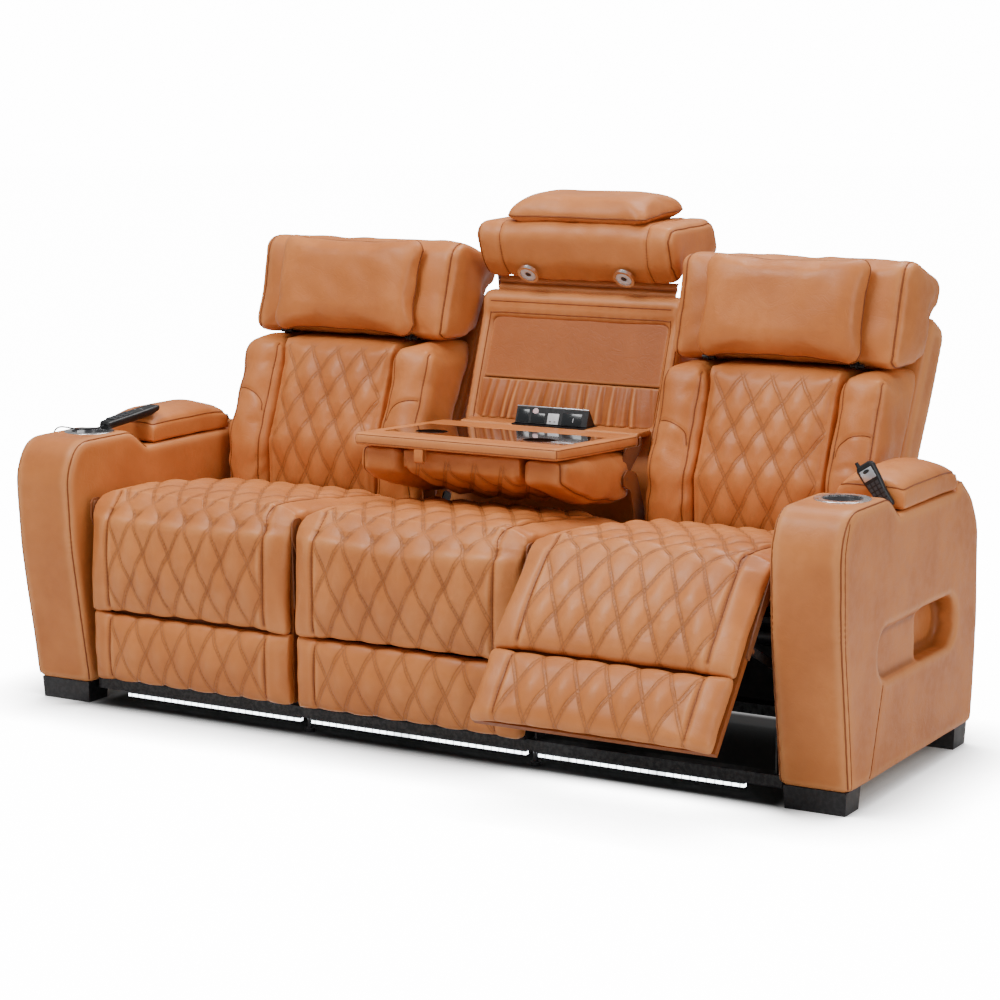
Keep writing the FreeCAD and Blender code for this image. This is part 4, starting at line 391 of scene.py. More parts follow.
blackSteel = moulded("blackSteel", (0.005, 0.005, 0.006, 1), 0.5, metal=0.2, worn=(0.06, 0.06, 0.06, 1))
darkCover = moulded("darkCover", (0.008, 0.007, 0.007, 1), 0.8, scale=700.0, bump=0.4, wearAmount=0.0)
# dark brown paint on the table brackets and head arms; on the footrest arms the same brown is painted shade
# of the crease they sit in
brownPaintAndShade = moulded("brownPaintAndShade", (0.17, 0.055, 0.018, 1), 0.5, worn=(0.22, 0.09, 0.04, 1))
blackPlastic = moulded("blackPlastic", (0.006, 0.006, 0.007, 1), 0.38, worn=(0.03, 0.03, 0.033, 1))
greyKeys = moulded("greyKeys", (0.035, 0.037, 0.042, 1), 0.55, bump=0.25)
blackRubber = moulded("blackRubber", (0.022, 0.022, 0.024, 1), 0.7, bump=0.3)
smokedGloss = moulded("smokedGloss", (0.022, 0.009, 0.006, 1), 0.09, coat=0.8, bump=0.02, wearAmount=0.1)
chrome = moulded("chrome", (0.85, 0.85, 0.87, 1), 0.2, metal=1.0, bump=0.02, wearAmount=0.1)
rimSteel = brushed("rimSteel", (0.92, 0.92, 0.93, 1), 0.24, (1.0, 14.0, 1.0))
plyBoard = board("plyBoard", (0.50, 0.35, 0.19, 1), (0.36, 0.22, 0.1, 1))
diodes = lightStrip("diodes")


def coveredSteel(name, cover, low, high):
    # black frame steel that is wrapped in hide between the seats, above a height
    material = moulded(name, (0.005, 0.005, 0.006, 1), 0.5, worn=(0.06, 0.06, 0.06, 1))
    tree = material.node_tree
    shader = tree.nodes["Principled BSDF"]
    plain = shader.inputs["Base Color"].links[0].from_socket
    place = objectPlace(tree)
    up = separated(tree, place)[2]
    tree.links.new(mixColour(tree, rampNode(tree, up, low, high), plain, cover), shader.inputs["Base Color"])
    return material


seatSteel = coveredSteel("seatSteel", (0.24, 0.075, 0.022, 1), 0.40, 0.43)
whiteLens = moulded("whiteLens", (0.78, 0.80, 0.82, 1), 0.25, coat=0.4, bump=0.02, wearAmount=0.1)
print("materials ready")

# mesh helpers

def linkObject(name, mesh):
    made = bpy.data.objects.new(name, mesh)
    scene.collection.objects.link(made)
    return made


def meshPiece(name, bm):
    mesh = bpy.data.meshes.new(name)
    bm.to_mesh(mesh)
    bm.free()
    return linkObject(name, mesh)


def coordinates(mesh):
    flat = np.zeros(len(mesh.vertices) * 3)
    mesh.vertices.foreach_get("co", flat)
    return flat.reshape(-1, 3)


def setCoordinates(mesh, places):
    mesh.vertices.foreach_set("co", places.ravel())
    mesh.update()


def vertexNormals(mesh):
    flat = np.zeros(len(mesh.vertices) * 3)
    mesh.vertex_normals.foreach_get("vector", flat)
    return flat.reshape(-1, 3)


def edgeEnds(mesh):
    flat = np.zeros(len(mesh.edges) * 2, dtype=np.int64)
    mesh.edges.foreach_get("vertices", flat)
    return flat.reshape(-1, 2)


def relaxed(places, ends, rounds, share=0.5):
    # each point moves towards the middle of its neighbours
    count = len(places)
    degree = np.bincount(ends.ravel(), minlength=count).astype(float)
    degree[degree == 0] = 1
    for _ in range(rounds):
        middle = np.zeros_like(places)
        for axis in range(places.shape[1]):
            middle[:, axis] = (np.bincount(ends[:, 0], places[ends[:, 1], axis], count)
                               + np.bincount(ends[:, 1], places[ends[:, 0], axis], count))
        middle /= degree[:, None]
        places = places + (middle - places) * share
    return places


def smoothStep(values, low, high):
    t = np.clip((values - low) / (high - low), 0, 1)
    return t * t * (3 - 2 * t)


def addModifier(piece, kind, **values):
    made = piece.modifiers.new(kind.lower(), kind)
    for name, value in values.items():
        setattr(made, name, value)
    return made


def finishedMesh(obj):
    # the mesh with its modifiers applied
    graph = bpy.context.evaluated_depsgraph_get()
    mesh = bpy.data.meshes.new_from_object(obj.evaluated_get(graph))
    obj.modifiers.clear()
    old = obj.data
    obj.data = mesh
    bpy.data.meshes.remove(old)
    return obj


def nodeShape(nodeName, keep=None):
    # a merged copy of a CAD node, or of those of its solids whose middle passes the test
    bm = bmesh.new()
    bm.from_mesh(frame["nodes"][nodeName].data)
    bmesh.ops.remove_doubles(bm, verts=bm.verts, dist=1e-5)
    if keep is not None:
        left = set(bm.verts)
        unwanted = []
        while left:
            seed = left.pop()
            island = [seed]
            stack = [seed]
            while stack:
                for edge in stack.pop().link_edges:
                    for other in edge.verts:
                        if other in left:
                            left.discard(other)
                            island.append(other)
                            stack.append(other)
            low = Vector([min(v.co[i] for v in island) for i in range(3)])
            high = Vector([max(v.co[i] for v in island) for i in range(3)])
            if not keep((low + high) / 2):
                unwanted += island
        bmesh.ops.delete(bm, geom=unwanted, context="VERTS")
    return bm


def withShape(bm, other):
    # a second shape added to the first
    mesh = bpy.data.meshes.new("joined")
    other.to_mesh(mesh)
    other.free()
    bm.from_mesh(mesh)
    bpy.data.meshes.remove(mesh)
    return bm


def withBox(bm, low, high):
    made = bmesh.ops.create_cube(bm, size=1.0)["verts"]
    bmesh.ops.scale(bm, vec=high - low, verts=made)
    bmesh.ops.translate(bm, vec=(high + low) / 2, verts=made)
    return bm


def remeshed(bm, name, voxel):
    piece = meshPiece(name, bm)
    addModifier(piece, "REMESH", mode="VOXEL", voxel_size=voxel)
    return finishedMesh(piece)


def relaxedPiece(piece, rounds):
    setCoordinates(piece.data, relaxed(coordinates(piece.data), edgeEnds(piece.data), rounds))
    return piece


def subdivided(piece, levels=1):
    addModifier(piece, "SUBSURF", levels=levels, render_levels=levels)
    return finishedMesh(piece)


def smoothShaded(piece):
    piece.data.polygons.foreach_set("use_smooth", np.ones(len(piece.data.polygons), dtype=bool))
    return piece


def markRidges(piece, scale=0.0022, rounds=10):
    # how far each point stands out of its surroundings, for painted shade in the creases and lighter tops,
    # which are partly wear and partly painted highlight
    mesh = piece.data
    places = coordinates(mesh)
    smooth = relaxed(places, edgeEnds(mesh), rounds, 0.6)
    out = ((places - smooth) * vertexNormals(mesh)).sum(1)
    values = np.clip(0.5 + out / scale * 0.5, 0, 1)
    attribute = mesh.attributes.get("ridge") or mesh.attributes.new("ridge", "FLOAT", "POINT")
    attribute.data.foreach_set("value", values.astype(np.float32))


def onlyMaterial(piece, material):
    piece.data.materials.clear()
    piece.data.materials.append(material)
    return piece


# padding: every stuffed piece starts from its CAD solid, a little smaller, and is blown up as cloth

waiting = []
clothSettings = {"quality": 4, "mass": 0.3, "use_pressure": True, "uniform_pressure_force": 4.0,
                 "tension_stiffness": 18, "compression_stiffness": 18, "bending_stiffness": 0.6}


def stuffed(name, bm, voxel=0.009, shrink=0.003, cap=0.006):
    piece = relaxedPiece(remeshed(bm, name, voxel), 3)
    mesh = piece.data
    setCoordinates(mesh, coordinates(mesh) - vertexNormals(mesh) * shrink)
    waiting.append((piece, cap, coordinates(mesh).copy()))
    return piece


def blowUp(pieces, frames=20):
    # one run of the cloth solver for all stuffed pieces together
    for piece, cap, start in pieces:
        modifier = piece.modifiers.new("cloth", "CLOTH")
        for name, value in clothSettings.items():
            setattr(modifier.settings, name, value)
        modifier.settings.effector_weights.gravity = 0.0
        modifier.collision_settings.use_collision = False
        modifier.point_cache.frame_start = 1
        modifier.point_cache.frame_end = frames
    for number in range(1, frames + 1):
        scene.frame_set(number)
    graph = bpy.context.evaluated_depsgraph_get()
    for piece, cap, start in pieces:
        after = coordinates(piece.evaluated_get(graph).data)
        move = after - start
        length = np.linalg.norm(move, axis=1, keepdims=True)
        length[length < 1e-9] = 1e-9
        # the push levels off towards the cap instead of stopping at it
        move = move / length * cap * np.tanh(length / cap)
        move = relaxed(move, edgeEnds(piece.data), 2)
        piece.modifiers.clear()
        setCoordinates(piece.data, start + move)
    scene.frame_set(1)


# quilting lattice: each piece has its outline's path, as (y, z, row) in millimetres

seatPath = [(520.0, 489.0, 7.0), (76.0, 541.0, 0.0)]
lowerPath = [(-21.0, 231.0, -6.0), (-19.0, 77.0, -8.0)]
rollRadius = 45.0


def kneePath(turn):
    # one line from the seat over the knee and down the pad, turned about the hinge with the footrest
    share = (90.0 - turn) / 90.0
    roll = [(seatPivot[0] + rollRadius * math.cos(math.radians(90 + (a - 90) * share)),
             seatPivot[1] + rollRadius * math.sin(math.radians(90 + (a - 90) * share)),
             -0.77 - 1.0 * (a - 90) / 90) for a in range(90, 181, 15)]
    flat = [(*turnedAbout(-23.0, z, seatPivot, -turn), row) for z, row in ((480.0, -2.0), (255.0, -5.0))]
    return seatPath + [(50.0, 541.0, -0.4)] + roll + flat


backPath = [(563.0, 452.0, 0.0), (563.0, 600.0, 2.0), (651.0, 834.0, 6.0)]
tablePath = [(566.0, 562.0, 0.0), (430.0, 556.0, 2.0), (236.0, 622.0, 5.0)]


def pathPlace(points, path, past=0.5):
    # row number along the path, distance from it and the direction into the piece, for each (y, z);
    # past is how far its first and last runs go on beyond their ends
    best = np.full(len(points), 1e9)
    rows = np.zeros(len(points))
    inward = np.zeros((len(points), 2))
    last = len(path) - 2
    for i, (start, end) in enumerate(zip(path[:-1], path[1:])):
        a, b = np.array(start[:2]), np.array(end[:2])
        span = b - a
        t = ((points - a) @ span) / (span @ span)
        t = np.clip(t, -past if i == 0 else 0.0, 1 + past if i == last else 1.0)
        away = np.linalg.norm(points - (a + t[:, None] * span), axis=1)
        better = away < best
        best[better] = away[better]
        rows[better] = (start[2] + (end[2] - start[2]) * t)[better]
        inward[better] = np.array((-span[1], span[0])) / np.linalg.norm(span)
    return rows, best, inward


def millimetres(piece):
    # the piece's own places, and X, Y and Z as in the part's source
    places = coordinates(piece.data)
    return places, places[:, 0] * 1000, places[:, 1] * 1000 + depthCentre, places[:, 2] * 1000


def quilt(piece, settings):
    # domes between the seams, sunk lattice lines, and the lattice as a UV map for the stitching
    swing, spill, band = 0.10, 0.2, 0.25
    mesh = piece.data
    places, x, y, z = millimetres(piece)
    normals = vertexNormals(mesh)
    x = x - settings["centre"]
    if settings.get("turn"):
        y, z = turnedAbout(y, z, seatPivot, settings["turn"])
    rows, away, _ = pathPlace(np.stack([y, z], 1), settings["path"])
    half = settings["half"] - settings["strip"]
    columns = settings["columns"]
    u = (x + half) / (2 * half) * columns
    # the seams swing a little, so that the diamonds have bowed sides
    v = rows + swing * np.sin(np.pi * u) * np.cos(np.pi * rows) * 0.5
    a = (u + v) / 2
    b = (u - v) / 2
    dome = np.sqrt(np.abs(np.sin(np.pi * a)) * np.abs(np.sin(np.pi * b)) + 1e-6)
    lowRow = min(p[2] for p in settings["path"])
    highRow = max(p[2] for p in settings["path"])
    near = 1 - smoothStep(away, 16.0, 30.0)
    inside = smoothStep(u, -0.05, 0.3) * (1 - smoothStep(u, columns - 0.3, columns + 0.05))
    ends = smoothStep(rows, lowRow - spill, lowRow + band)
    ends = ends * (1 - smoothStep(rows, highRow - band, highRow + spill))
    weight = near * inside * ends
    # upright tucks run into a drawn-in edge
    tucks = np.abs(np.sin(np.pi * u / 2 + (np.pi / 2 if settings.get("tuckShift") else 0.0))) ** 0.5
    tuckWeight = np.zeros(len(x))
    for row in settings.get("tucks", []):
        tuckWeight = np.maximum(tuckWeight, np.exp(-((rows - row) / 0.22) ** 2))
    lift = settings["dome"] * (dome - 0.45) * weight
    lift = lift - settings.get("tuckDepth", 2.0) * (1 - tucks) * tuckWeight * near * inside
    # a soft border on each side: a sunk seam line
    border = np.minimum(np.abs(u), np.abs(u - columns)) * (2 * half / columns)
    lift = lift - settings.get("border", 2.2) * np.exp(-(border / 6.0) ** 2) * near
    setCoordinates(mesh, places + normals * (lift / 1000)[:, None])
    layer = mesh.uv_layers.new(name="quilt")
    corner = np.zeros(len(mesh.loops), dtype=np.int64)
    mesh.loops.foreach_get("vertex_index", corner)
    layer.data.foreach_set("uv", np.stack([u, v], 1)[corner].astype(np.float32).ravel())
    mask = near * smoothStep(u, -0.02, 0.04) * (1 - smoothStep(u, columns - 0.04, columns + 0.02))
    mask = mask * smoothStep(rows, lowRow - 0.3, lowRow) * (1 - smoothStep(rows, highRow, highRow + 0.3))
    attribute = mesh.attributes.new("quiltMask", "FLOAT", "POINT")
    attribute.data.foreach_set("value", mask.astype(np.float32))


def widen(piece, centre, half, push, reach=60.0):
    # the sides swell towards the neighbours
    places, x, _, _ = millimetres(piece)
    x = x - centre
    grow = smoothStep(np.abs(x), half - reach, half) * push
    grow = np.where(x > 0, grow, -grow)
    places[:, 0] += grow / 1000
    setCoordinates(piece.data, places)


def roundOff(piece, centre, half, path, reach=75.0, depth=17.0):
    # the shoulders fall away towards the sides
    places, x, y, z = millimetres(piece)
    _, away, inward = pathPlace(np.stack([y, z], 1), path, past=0.0)
    inward = relaxed(inward, edgeEnds(piece.data), 8)
    c = np.clip((np.abs(x - centre) - (half - reach)) / reach, 0, 1)
    drop = depth * (1 - np.sqrt(1 - (c * 0.98) ** 2)) * (1 - smoothStep(away, 20.0, 55.0))
    places[:, 1:] += inward * drop[:, None] / 1000
    setCoordinates(piece.data, places)


def softKnee(piece, turn, radius=80.0, roll=rollRadius):
    # the roll over the hinge is widened to a larger curve; turn is how far the pad is open
    places, _, y, z = millimetres(piece)
    y, z = y - seatPivot[0], z - seatPivot[1]
    half = math.radians(90.0 - turn) / 2
    # the middle of the larger curve lies on the line that halves the bend
    lean = math.radians(90.0) + half
    gap = (radius - roll) / math.cos(half)
    ay, az = -math.cos(lean) * gap, -math.sin(lean) * gap
    dy, dz = y - ay, z - az
    away = np.hypot(dy, dz)
    angle = np.abs(np.arctan2(dz, dy) - lean)
    # how far the tight roll stands beyond the larger curve in each direction
    chord = gap * np.cos(angle) + np.sqrt(np.maximum(roll ** 2 - (gap * np.sin(angle)) ** 2, 0.0))
    flat = radius / np.cos(np.clip(half - angle, -1.2, 1.2))
    rim = np.where(angle > half, radius, np.minimum(chord, flat))
    rim = np.where(gap * np.sin(angle) >= roll, flat, rim)
    share = np.clip((rim - radius) / rim, 0, 0.35) * smoothStep(away, radius * 0.55, radius * 0.95)
    share = np.where(angle < half, share, 0.0)
    share = relaxed(share[:, None], edgeEnds(piece.data), 6)[:, 0]
    places[:, 1] -= dy * share / 1000
    places[:, 2] -= dz * share / 1000
    setCoordinates(piece.data, places)


def scaleAbout(piece, middle, shares):
    mesh = piece.data
    setCoordinates(mesh, (coordinates(mesh) - np.array(middle)) * np.array(shares) + np.array(middle))


def hangDown(piece, level, reach, push):
    # the lower a point hangs under the level, the further it drops
    places, _, _, z = millimetres(piece)
    places[:, 2] -= (1 - smoothStep(z, level - reach, level)) * push / 1000
    setCoordinates(piece.data, places)


def stretchEnd(piece, level, reach, push, turn=0.0):
    # points near a level of the closed pad are drawn along it, so that two pieces meet in a tight crease
    places, _, y, z = millimetres(piece)
    y, z = y - seatPivot[0], z - seatPivot[1]
    angle = math.radians(turn)
    up = y * math.sin(angle) + z * math.cos(angle) + seatPivot[1]
    weight = 1 - smoothStep(np.abs(up - level), 0.0, reach)
    places[:, 1] += math.sin(angle) * push * weight / 1000
    places[:, 2] += math.cos(angle) * push * weight / 1000
    setCoordinates(piece.data, places)


def hollowUnder(piece, front, rear, low, high, push):
    # the hidden underside near the front is raised, which leaves room for the bars that pass under it
    places, _, y, z = millimetres(piece)
    share = (1 - smoothStep(y, front, rear)) * smoothStep(y, 20.0, 34.0) * (1 - smoothStep(z, low, high))
    places[:, 2] += share * push / 1000
    setCoordinates(piece.data, places)


def grownUp(piece, level, reach, push):
    # points near the top edge are raised
    places, _, _, z = millimetres(piece)
    places[:, 2] += smoothStep(z, level - reach, level) * push / 1000
    setCoordinates(piece.data, places)


def undulate(piece, height, length, seed):
    # slow waves, as in hide that has been sat on
    mesh = piece.data
    places = coordinates(mesh)
    rng = np.random.default_rng(seed)
    wave = np.zeros(len(places))
    for _ in range(9):
        direction = rng.normal(size=3)
        direction /= np.linalg.norm(direction)
        pace = 2 * math.pi / (length * rng.uniform(0.6, 1.5))
        wave += np.sin(places @ direction * pace + rng.uniform(0, 6.28))
    setCoordinates(mesh, places + vertexNormals(mesh) * (wave / 9 * height * 2)[:, None])


def filletedPath(corners, closed=True, step=8.0):
    # points along straight runs and arcs through (y, z, radius)
    count = len(corners)
    out = []
    for i in range(count):
        here = Vector(corners[i][:2])
        if not closed and i in (0, count - 1):
            out.append(here)
            continue
        before = Vector(corners[i - 1][:2])
        after = Vector(corners[(i + 1) % count][:2])
        back = before - here
        ahead = after - here
        half = back.angle(ahead) / 2
        reach = min(corners[i][2] / math.tan(half), 0.48 * min(back.length, ahead.length))
        start = here + back.normalized() * reach
        end = here + ahead.normalized() * reach
        for j in range(7):
            t = j / 6
            out.append(start * (1 - t) ** 2 + here * 2 * t * (1 - t) + end * t ** 2)
    if closed:
        out.append(out[0].copy())
    dense = []
    for a, b in zip(out[:-1], out[1:]):
        parts = max(1, int((b - a).length / step))
        for j in range(parts):
            dense.append(a.lerp(b, j / parts))
    dense.append(out[-1])
    return [(p.x, p.y) for p in dense]


def surfaceOf(piece):
    mesh = piece.data
    mesh.calc_loop_triangles()
    return BVHTree.FromPolygons([v.co.copy() for v in mesh.vertices],
                                [tuple(t.vertices) for t in mesh.loop_triangles])


def laidOn(surface, points, lift):
    # row points moved onto the nearest surface
    out = []
    for point in points:
        place, normal, _, away = surface.find_nearest(point)
        if place is not None and away < 0.04:
            out.append(place + normal * lift)
    smooth = []
    for i, point in enumerate(out):
        if 0 < i < len(out) - 1:
            point = (out[i - 1] + point * 2 + out[i + 1]) / 4
        smooth.append(point)
    return smooth


def pressIn(piece, lines, depth, width):
    # the surface is drawn in along the seams
    tree = kdtree.KDTree(sum(len(line) for line in lines))
    n = 0
    for line in lines:
        for point in line:
            tree.insert(point, n)
            n += 1
    tree.balance()
    mesh = piece.data
    places = coordinates(mesh)
    away = np.array([tree.find(p)[2] for p in places])
    drop = depth * np.exp(-(away / width) ** 2)
    setCoordinates(mesh, places - vertexNormals(mesh) * drop[:, None])


def meshOf(made):
    # a curve turned into the mesh it draws
    bpy.context.view_layer.update()
    mesh = bpy.data.meshes.new_from_object(made.evaluated_get(bpy.context.evaluated_depsgraph_get()))
    name = made.name
    bpy.data.objects.remove(made)
    return linkObject(name, mesh)


def newCurve(name, radius, resolution):
    curve = bpy.data.curves.new(name, "CURVE")
    curve.dimensions = "3D"
    curve.bevel_depth = radius
    curve.bevel_resolution = resolution
    curve.use_fill_caps = True
    return curve


def addSpline(curve, kind, places):
    spline = curve.splines.new(kind)
    spline.points.add(len(places) - 1)
    for point, place in zip(spline.points, places):
        point.co = (*place, 1.0)
    return spline


def dressSeams(name, piece, lines, radius=0.0022, depth=0.0025, width=0.007, body=None):
    # the hide is drawn in and a piping cord lies in the groove
    surface = surfaceOf(piece)
    onIt = [laidOn(surface, line, 0.0) for line in lines]
    onIt = [line for line in onIt if len(line) > 3]
    pressIn(piece, onIt, depth, width)
    surface = surfaceOf(piece)
    curve = newCurve(name, radius, 2)
    for line in onIt:
        addSpline(curve, "POLY", laidOn(surface, line, 0.0002)).use_smooth = True
    made = linkObject(name, curve)
    made.data.materials.append(pipingLeather)
    if body:
        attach(made, body)
    else:
        made = meshOf(made)
    return made


def settle(piece, body, nodes, material):
    # the last steps of a finished soft piece
    smoothShaded(piece)
    markRidges(piece)
    onlyMaterial(piece, material)
    if body:
        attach(piece, body)
    for node in nodes:
        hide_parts(node)
    return piece


def bodyOf(node):
    return frame["nodes"][node]["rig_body"]


# the thin lead of the left control, the route's points as in the source

leadPoints = [(-985.1, 164.7, 668.5), (-988.4, 149.5, 665.9), (-996.0, 134.0, 664.0),
              (-1012.0, 121.0, 663.5), (-1033.0, 113.0, 664.0), (-1055.0, 108.0, 666.5),
              (-1075.0, 107.0, 667.5), (-1093.0, 108.0, 659.5), (-1102.0, 111.0, 640.0),
              (-1103.5, 114.0, 615.0), (-1102.5, 116.0, 590.0), (-1102.0, 116.0, 573.0),
              (-1098.0, 116.0, 562.0), (-1089.0, 116.0, 560.0)]


def makeLead():
    curve = newCurve("remoteLead", 0.002, 4)
    spline = addSpline(curve, "NURBS", [rowPoint(*place) for place in leadPoints])
    spline.order_u = 3
    spline.use_endpoint_u = True
    spline.resolution_u = 8
    lead = linkObject("remoteLead", curve)
    curve.materials.append(blackRubber)
    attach(lead, "base")
    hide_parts("remote_cord_left")


makeLead()
print("lead laid")

# seats, pads and backs: stuffed shapes

sideSeat = {"half": 291.5, "strip": 62.0, "columns": 12, "dome": 6.0, "tucks": [7.0, -5.1], "tuckDepth": 3.5,
            "tuckShift": True}
sideLower = dict(sideSeat, half=287.7, path=lowerPath, dome=5.0, tucks=[-5.9, -8.1], tuckShift=False)
backQuilt = {"half": 169.4, "strip": 18.0, "columns": 8, "path": backPath, "dome": 4.5, "border": 1.0}
tableQuilt = {"half": 168.0, "strip": 18.0, "columns": 8, "path": tablePath, "dome": 5.0, "tucks": [0.2, 2.0],
              "tuckDepth": 7.0, "border": 1.5}

soft = {}
sides = (("left", -1), ("right", 1))
for side, sign in sides:
    centre = sign * sideCentre
    middleZ = 0.33 if side == "right" else 0.24
    shape = withShape(nodeShape("seat_cushion_" + side),
                      nodeShape("footrest_pads_" + side, lambda p: p.z > middleZ))
    withBox(shape, rowPoint(centre - 286.0, 24.0, 470.0), rowPoint(centre + 286.0, 90.0, 537.0))
    soft["seat_" + side] = stuffed("seatCushion_" + side, shape, cap=0.007)
    soft["lower_" + side] = stuffed("padLower_" + side, nodeShape("footrest_pads_" + side,
                                    lambda p: p.z <= middleZ), voxel=0.008, cap=0.006)
    soft["back_" + side] = stuffed("backQuilt_" + side, nodeShape("back_quilt_" + side), voxel=0.008)
    for wing, test in (("outer", lambda p: abs(p.x) > 0.6), ("inner", lambda p: abs(p.x) <= 0.6)):
        shape = nodeShape("back_wings_" + side, test)
        soft[f"wing_{wing}_{side}"] = stuffed(f"backWing_{wing}_{side}", shape, voxel=0.008, cap=0.008)
    soft["head_" + side] = stuffed("headCushion_" + side, nodeShape("headrest_" + side), cap=0.008)
    soft["pillow_" + side] = stuffed("headPillow_" + side, nodeShape("head_pillow_" + side), voxel=0.007,
                                     cap=0.007)
    soft["lid_" + side] = stuffed("armLid_" + side, nodeShape("arm_lid_" + side), voxel=0.0065, shrink=0.002,
                                  cap=0.003)
shape = withShape(nodeShape("seat_cushion_middle"), nodeShape("front_pads_middle", lambda p: p.z > 0.24))
withBox(shape, rowPoint(-300.0, 24.0, 470.0), rowPoint(300.0, 90.0, 537.0))
soft["seat_middle"] = stuffed("seatCushion_middle", shape, cap=0.007)
soft["lower_middle"] = stuffed("padLower_middle", nodeShape("front_pads_middle", lambda p: p.z <= 0.24),
                               voxel=0.008)
soft["head_middle"] = stuffed("headCushion_middle", nodeShape("headrest_middle"), cap=0.008)
soft["pillow_middle"] = stuffed("headPillow_middle", nodeShape("head_pillow_middle"), voxel=0.007, cap=0.008)
shape = nodeShape("table_cushion", lambda p: abs(p.x) < 0.1)
soft["table_middle"] = stuffed("tableQuilt", shape, voxel=0.008, cap=0.008)
for side, sign in sides:
    shape = nodeShape("table_cushion", lambda p: p.x * sign > 0.1)
    soft["bolster_" + side] = stuffed("tableBolster_" + side, shape, voxel=0.008, cap=0.008)
print("stuffed shapes:", len(soft))
blowUp(waiting)
print("blown up")
for piece in soft.values():
    subdivided(piece)

# quilting, seams and piping

seats = []
for side, sign in sides + (("middle", 0),):
    middle = side == "middle"
    seats.append({"side": side, "sign": sign, "centre": sign * sideCentre, "half": 302.7 if middle else 289.5,
                  "turn": openAngle if side == "right" else 0.0, "push": 5.0 if middle else 7.5,
                  "pads": "front_pads_middle" if middle else "footrest_pads_" + side})

for place in seats:
    side, sign, centre = place["side"], place["sign"], place["centre"]
    half, turn, push = place["half"], place["turn"], place["push"]
    seat = soft["seat_" + side]
    path = kneePath(turn)
    softKnee(seat, turn)
    hollowUnder(seat, front=90.0, rear=180.0, low=455.0, high=492.0, push=32.0)
    stretchEnd(seat, level=246.0, reach=34.0, push=-9.0, turn=turn)
    roundOff(seat, centre, half, path)
    widen(seat, centre, half, push)
    undulate(seat, height=0.0016, length=0.16, seed=3 + sign)
    quilt(seat, dict(sideSeat, half=half, path=path, centre=centre))
    pad = soft["lower_" + side]
    stretchEnd(pad, level=239.0, reach=34.0, push=9.0, turn=turn)
    turned = [(*turnedAbout(y, z, seatPivot, -turn), row) for y, z, row in lowerPath]
    roundOff(pad, centre, half, turned, depth=16.0)
    widen(pad, centre, half, push)
    undulate(pad, height=0.0012, length=0.15, seed=5 + sign)
    quilt(pad, dict(sideLower, half=half, centre=centre, turn=turn))
for side, sign in sides:
    back = soft["back_" + side]
    grownUp(back, level=846.0, reach=50.0, push=9.0)
    quilt(back, dict(backQuilt, centre=sign * sideCentre))
quilt(soft["table_middle"], dict(tableQuilt, centre=0.0))
print("quilted")


def profileLine(corners, x, closed=True, turn=None):
    # an outline in a plane of constant X
    path = filletedPath(corners, closed)
    return [rowPoint(x, *(turnedAbout(y, z, *turn) if turn else (y, z))) for y, z in path]


def latticeBorder(settings, centre, sign, turn=0.0):
    # the line between the quilting and the plain strip beside it
    x = centre + sign * (settings["half"] - settings["strip"])
    out = []
    path = settings["path"]
    for a, b in zip(path[:-1], path[1:]):
        parts = max(1, int(math.dist(a[:2], b[:2]) / 8))
        for j in range(parts):
            t = j / parts
            y, z = a[0] + (b[0] - a[0]) * t, a[1] + (b[1] - a[1]) * t
            if turn:
                y, z = turnedAbout(y, z, seatPivot, -turn)
            out.append(rowPoint(x, y, z))
    return out


def bent(piece, side):
    # the side seats, whose skin runs over a moving knee, have their placement baked into the mesh
    if side != "middle":
        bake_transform(piece)


for place in seats:
    side, centre, pads = place["side"], place["centre"], place["pads"]
    half, turn = place["half"], place["turn"]
    seat = soft["seat_" + side]
    lines = [latticeBorder(dict(sideSeat, half=half, path=kneePath(turn)), centre, s) for s in (1, -1)]
    owner = "base" if side == "middle" else None
    piping = dressSeams("seatPiping_" + side, seat, lines, radius=0.0013, depth=0.003, body=owner)
    bent(piping, side)
    bent(seat, side)
    settle(seat, owner, ["seat_cushion_" + side, pads], quiltedLeather)
    pad = soft["lower_" + side]
    lines = [latticeBorder(dict(sideLower, half=half), centre, s, turn) for s in (1, -1)]
    dressSeams("padPiping_" + side, pad, lines, radius=0.0013, body=bodyOf(pads))
    settle(pad, bodyOf(pads), [pads], quiltedLeather)

wingOutline = [(545.0, 440.0, 16.0), (537.0, 520.0, 120.0), (541.0, 612.0, 90.0), (588.0, 716.0, 200.0),
               (637.0, 844.0, 30.0), (654.0, 848.0, 6.0)]
headOutline = [(858.0, 872.0, 12.0), (800.0, 857.0, 20.0), (712.0, 857.5, 16.0), (689.0, 874.0, 14.0),
               (696.0, 900.0, 30.0), (757.0, 1102.0, 40.0), (800.0, 1114.0, 50.0), (950.0, 1064.0, 40.0),
               (978.0, 1036.0, 20.0), (958.0, 990.0, 20.0), (924.0, 977.0, 6.0)]


def pillowLine(low, high, halfWidth=210.0, halfHeight=126.0, corner=34.0, centre=0.0, turn=None):
    # the seam round a pillow, in the plane through (y, z) points low and high
    out = []
    flat = filletedPath([(halfWidth, halfHeight, corner), (-halfWidth, halfHeight, corner),
                         (-halfWidth, -halfHeight, corner), (halfWidth, -halfHeight, corner)])
    span = math.dist(low, high)
    uy, uz = (high[0] - low[0]) / span, (high[1] - low[1]) / span
    my, mz = (low[0] + high[0]) / 2, (low[1] + high[1]) / 2
    for across, up in flat:
        y, z = my + uy * up, mz + uz * up
        if turn:
            y, z = turnedAbout(y, z, *turn)
        out.append(rowPoint(centre + across, y, z))
    return out


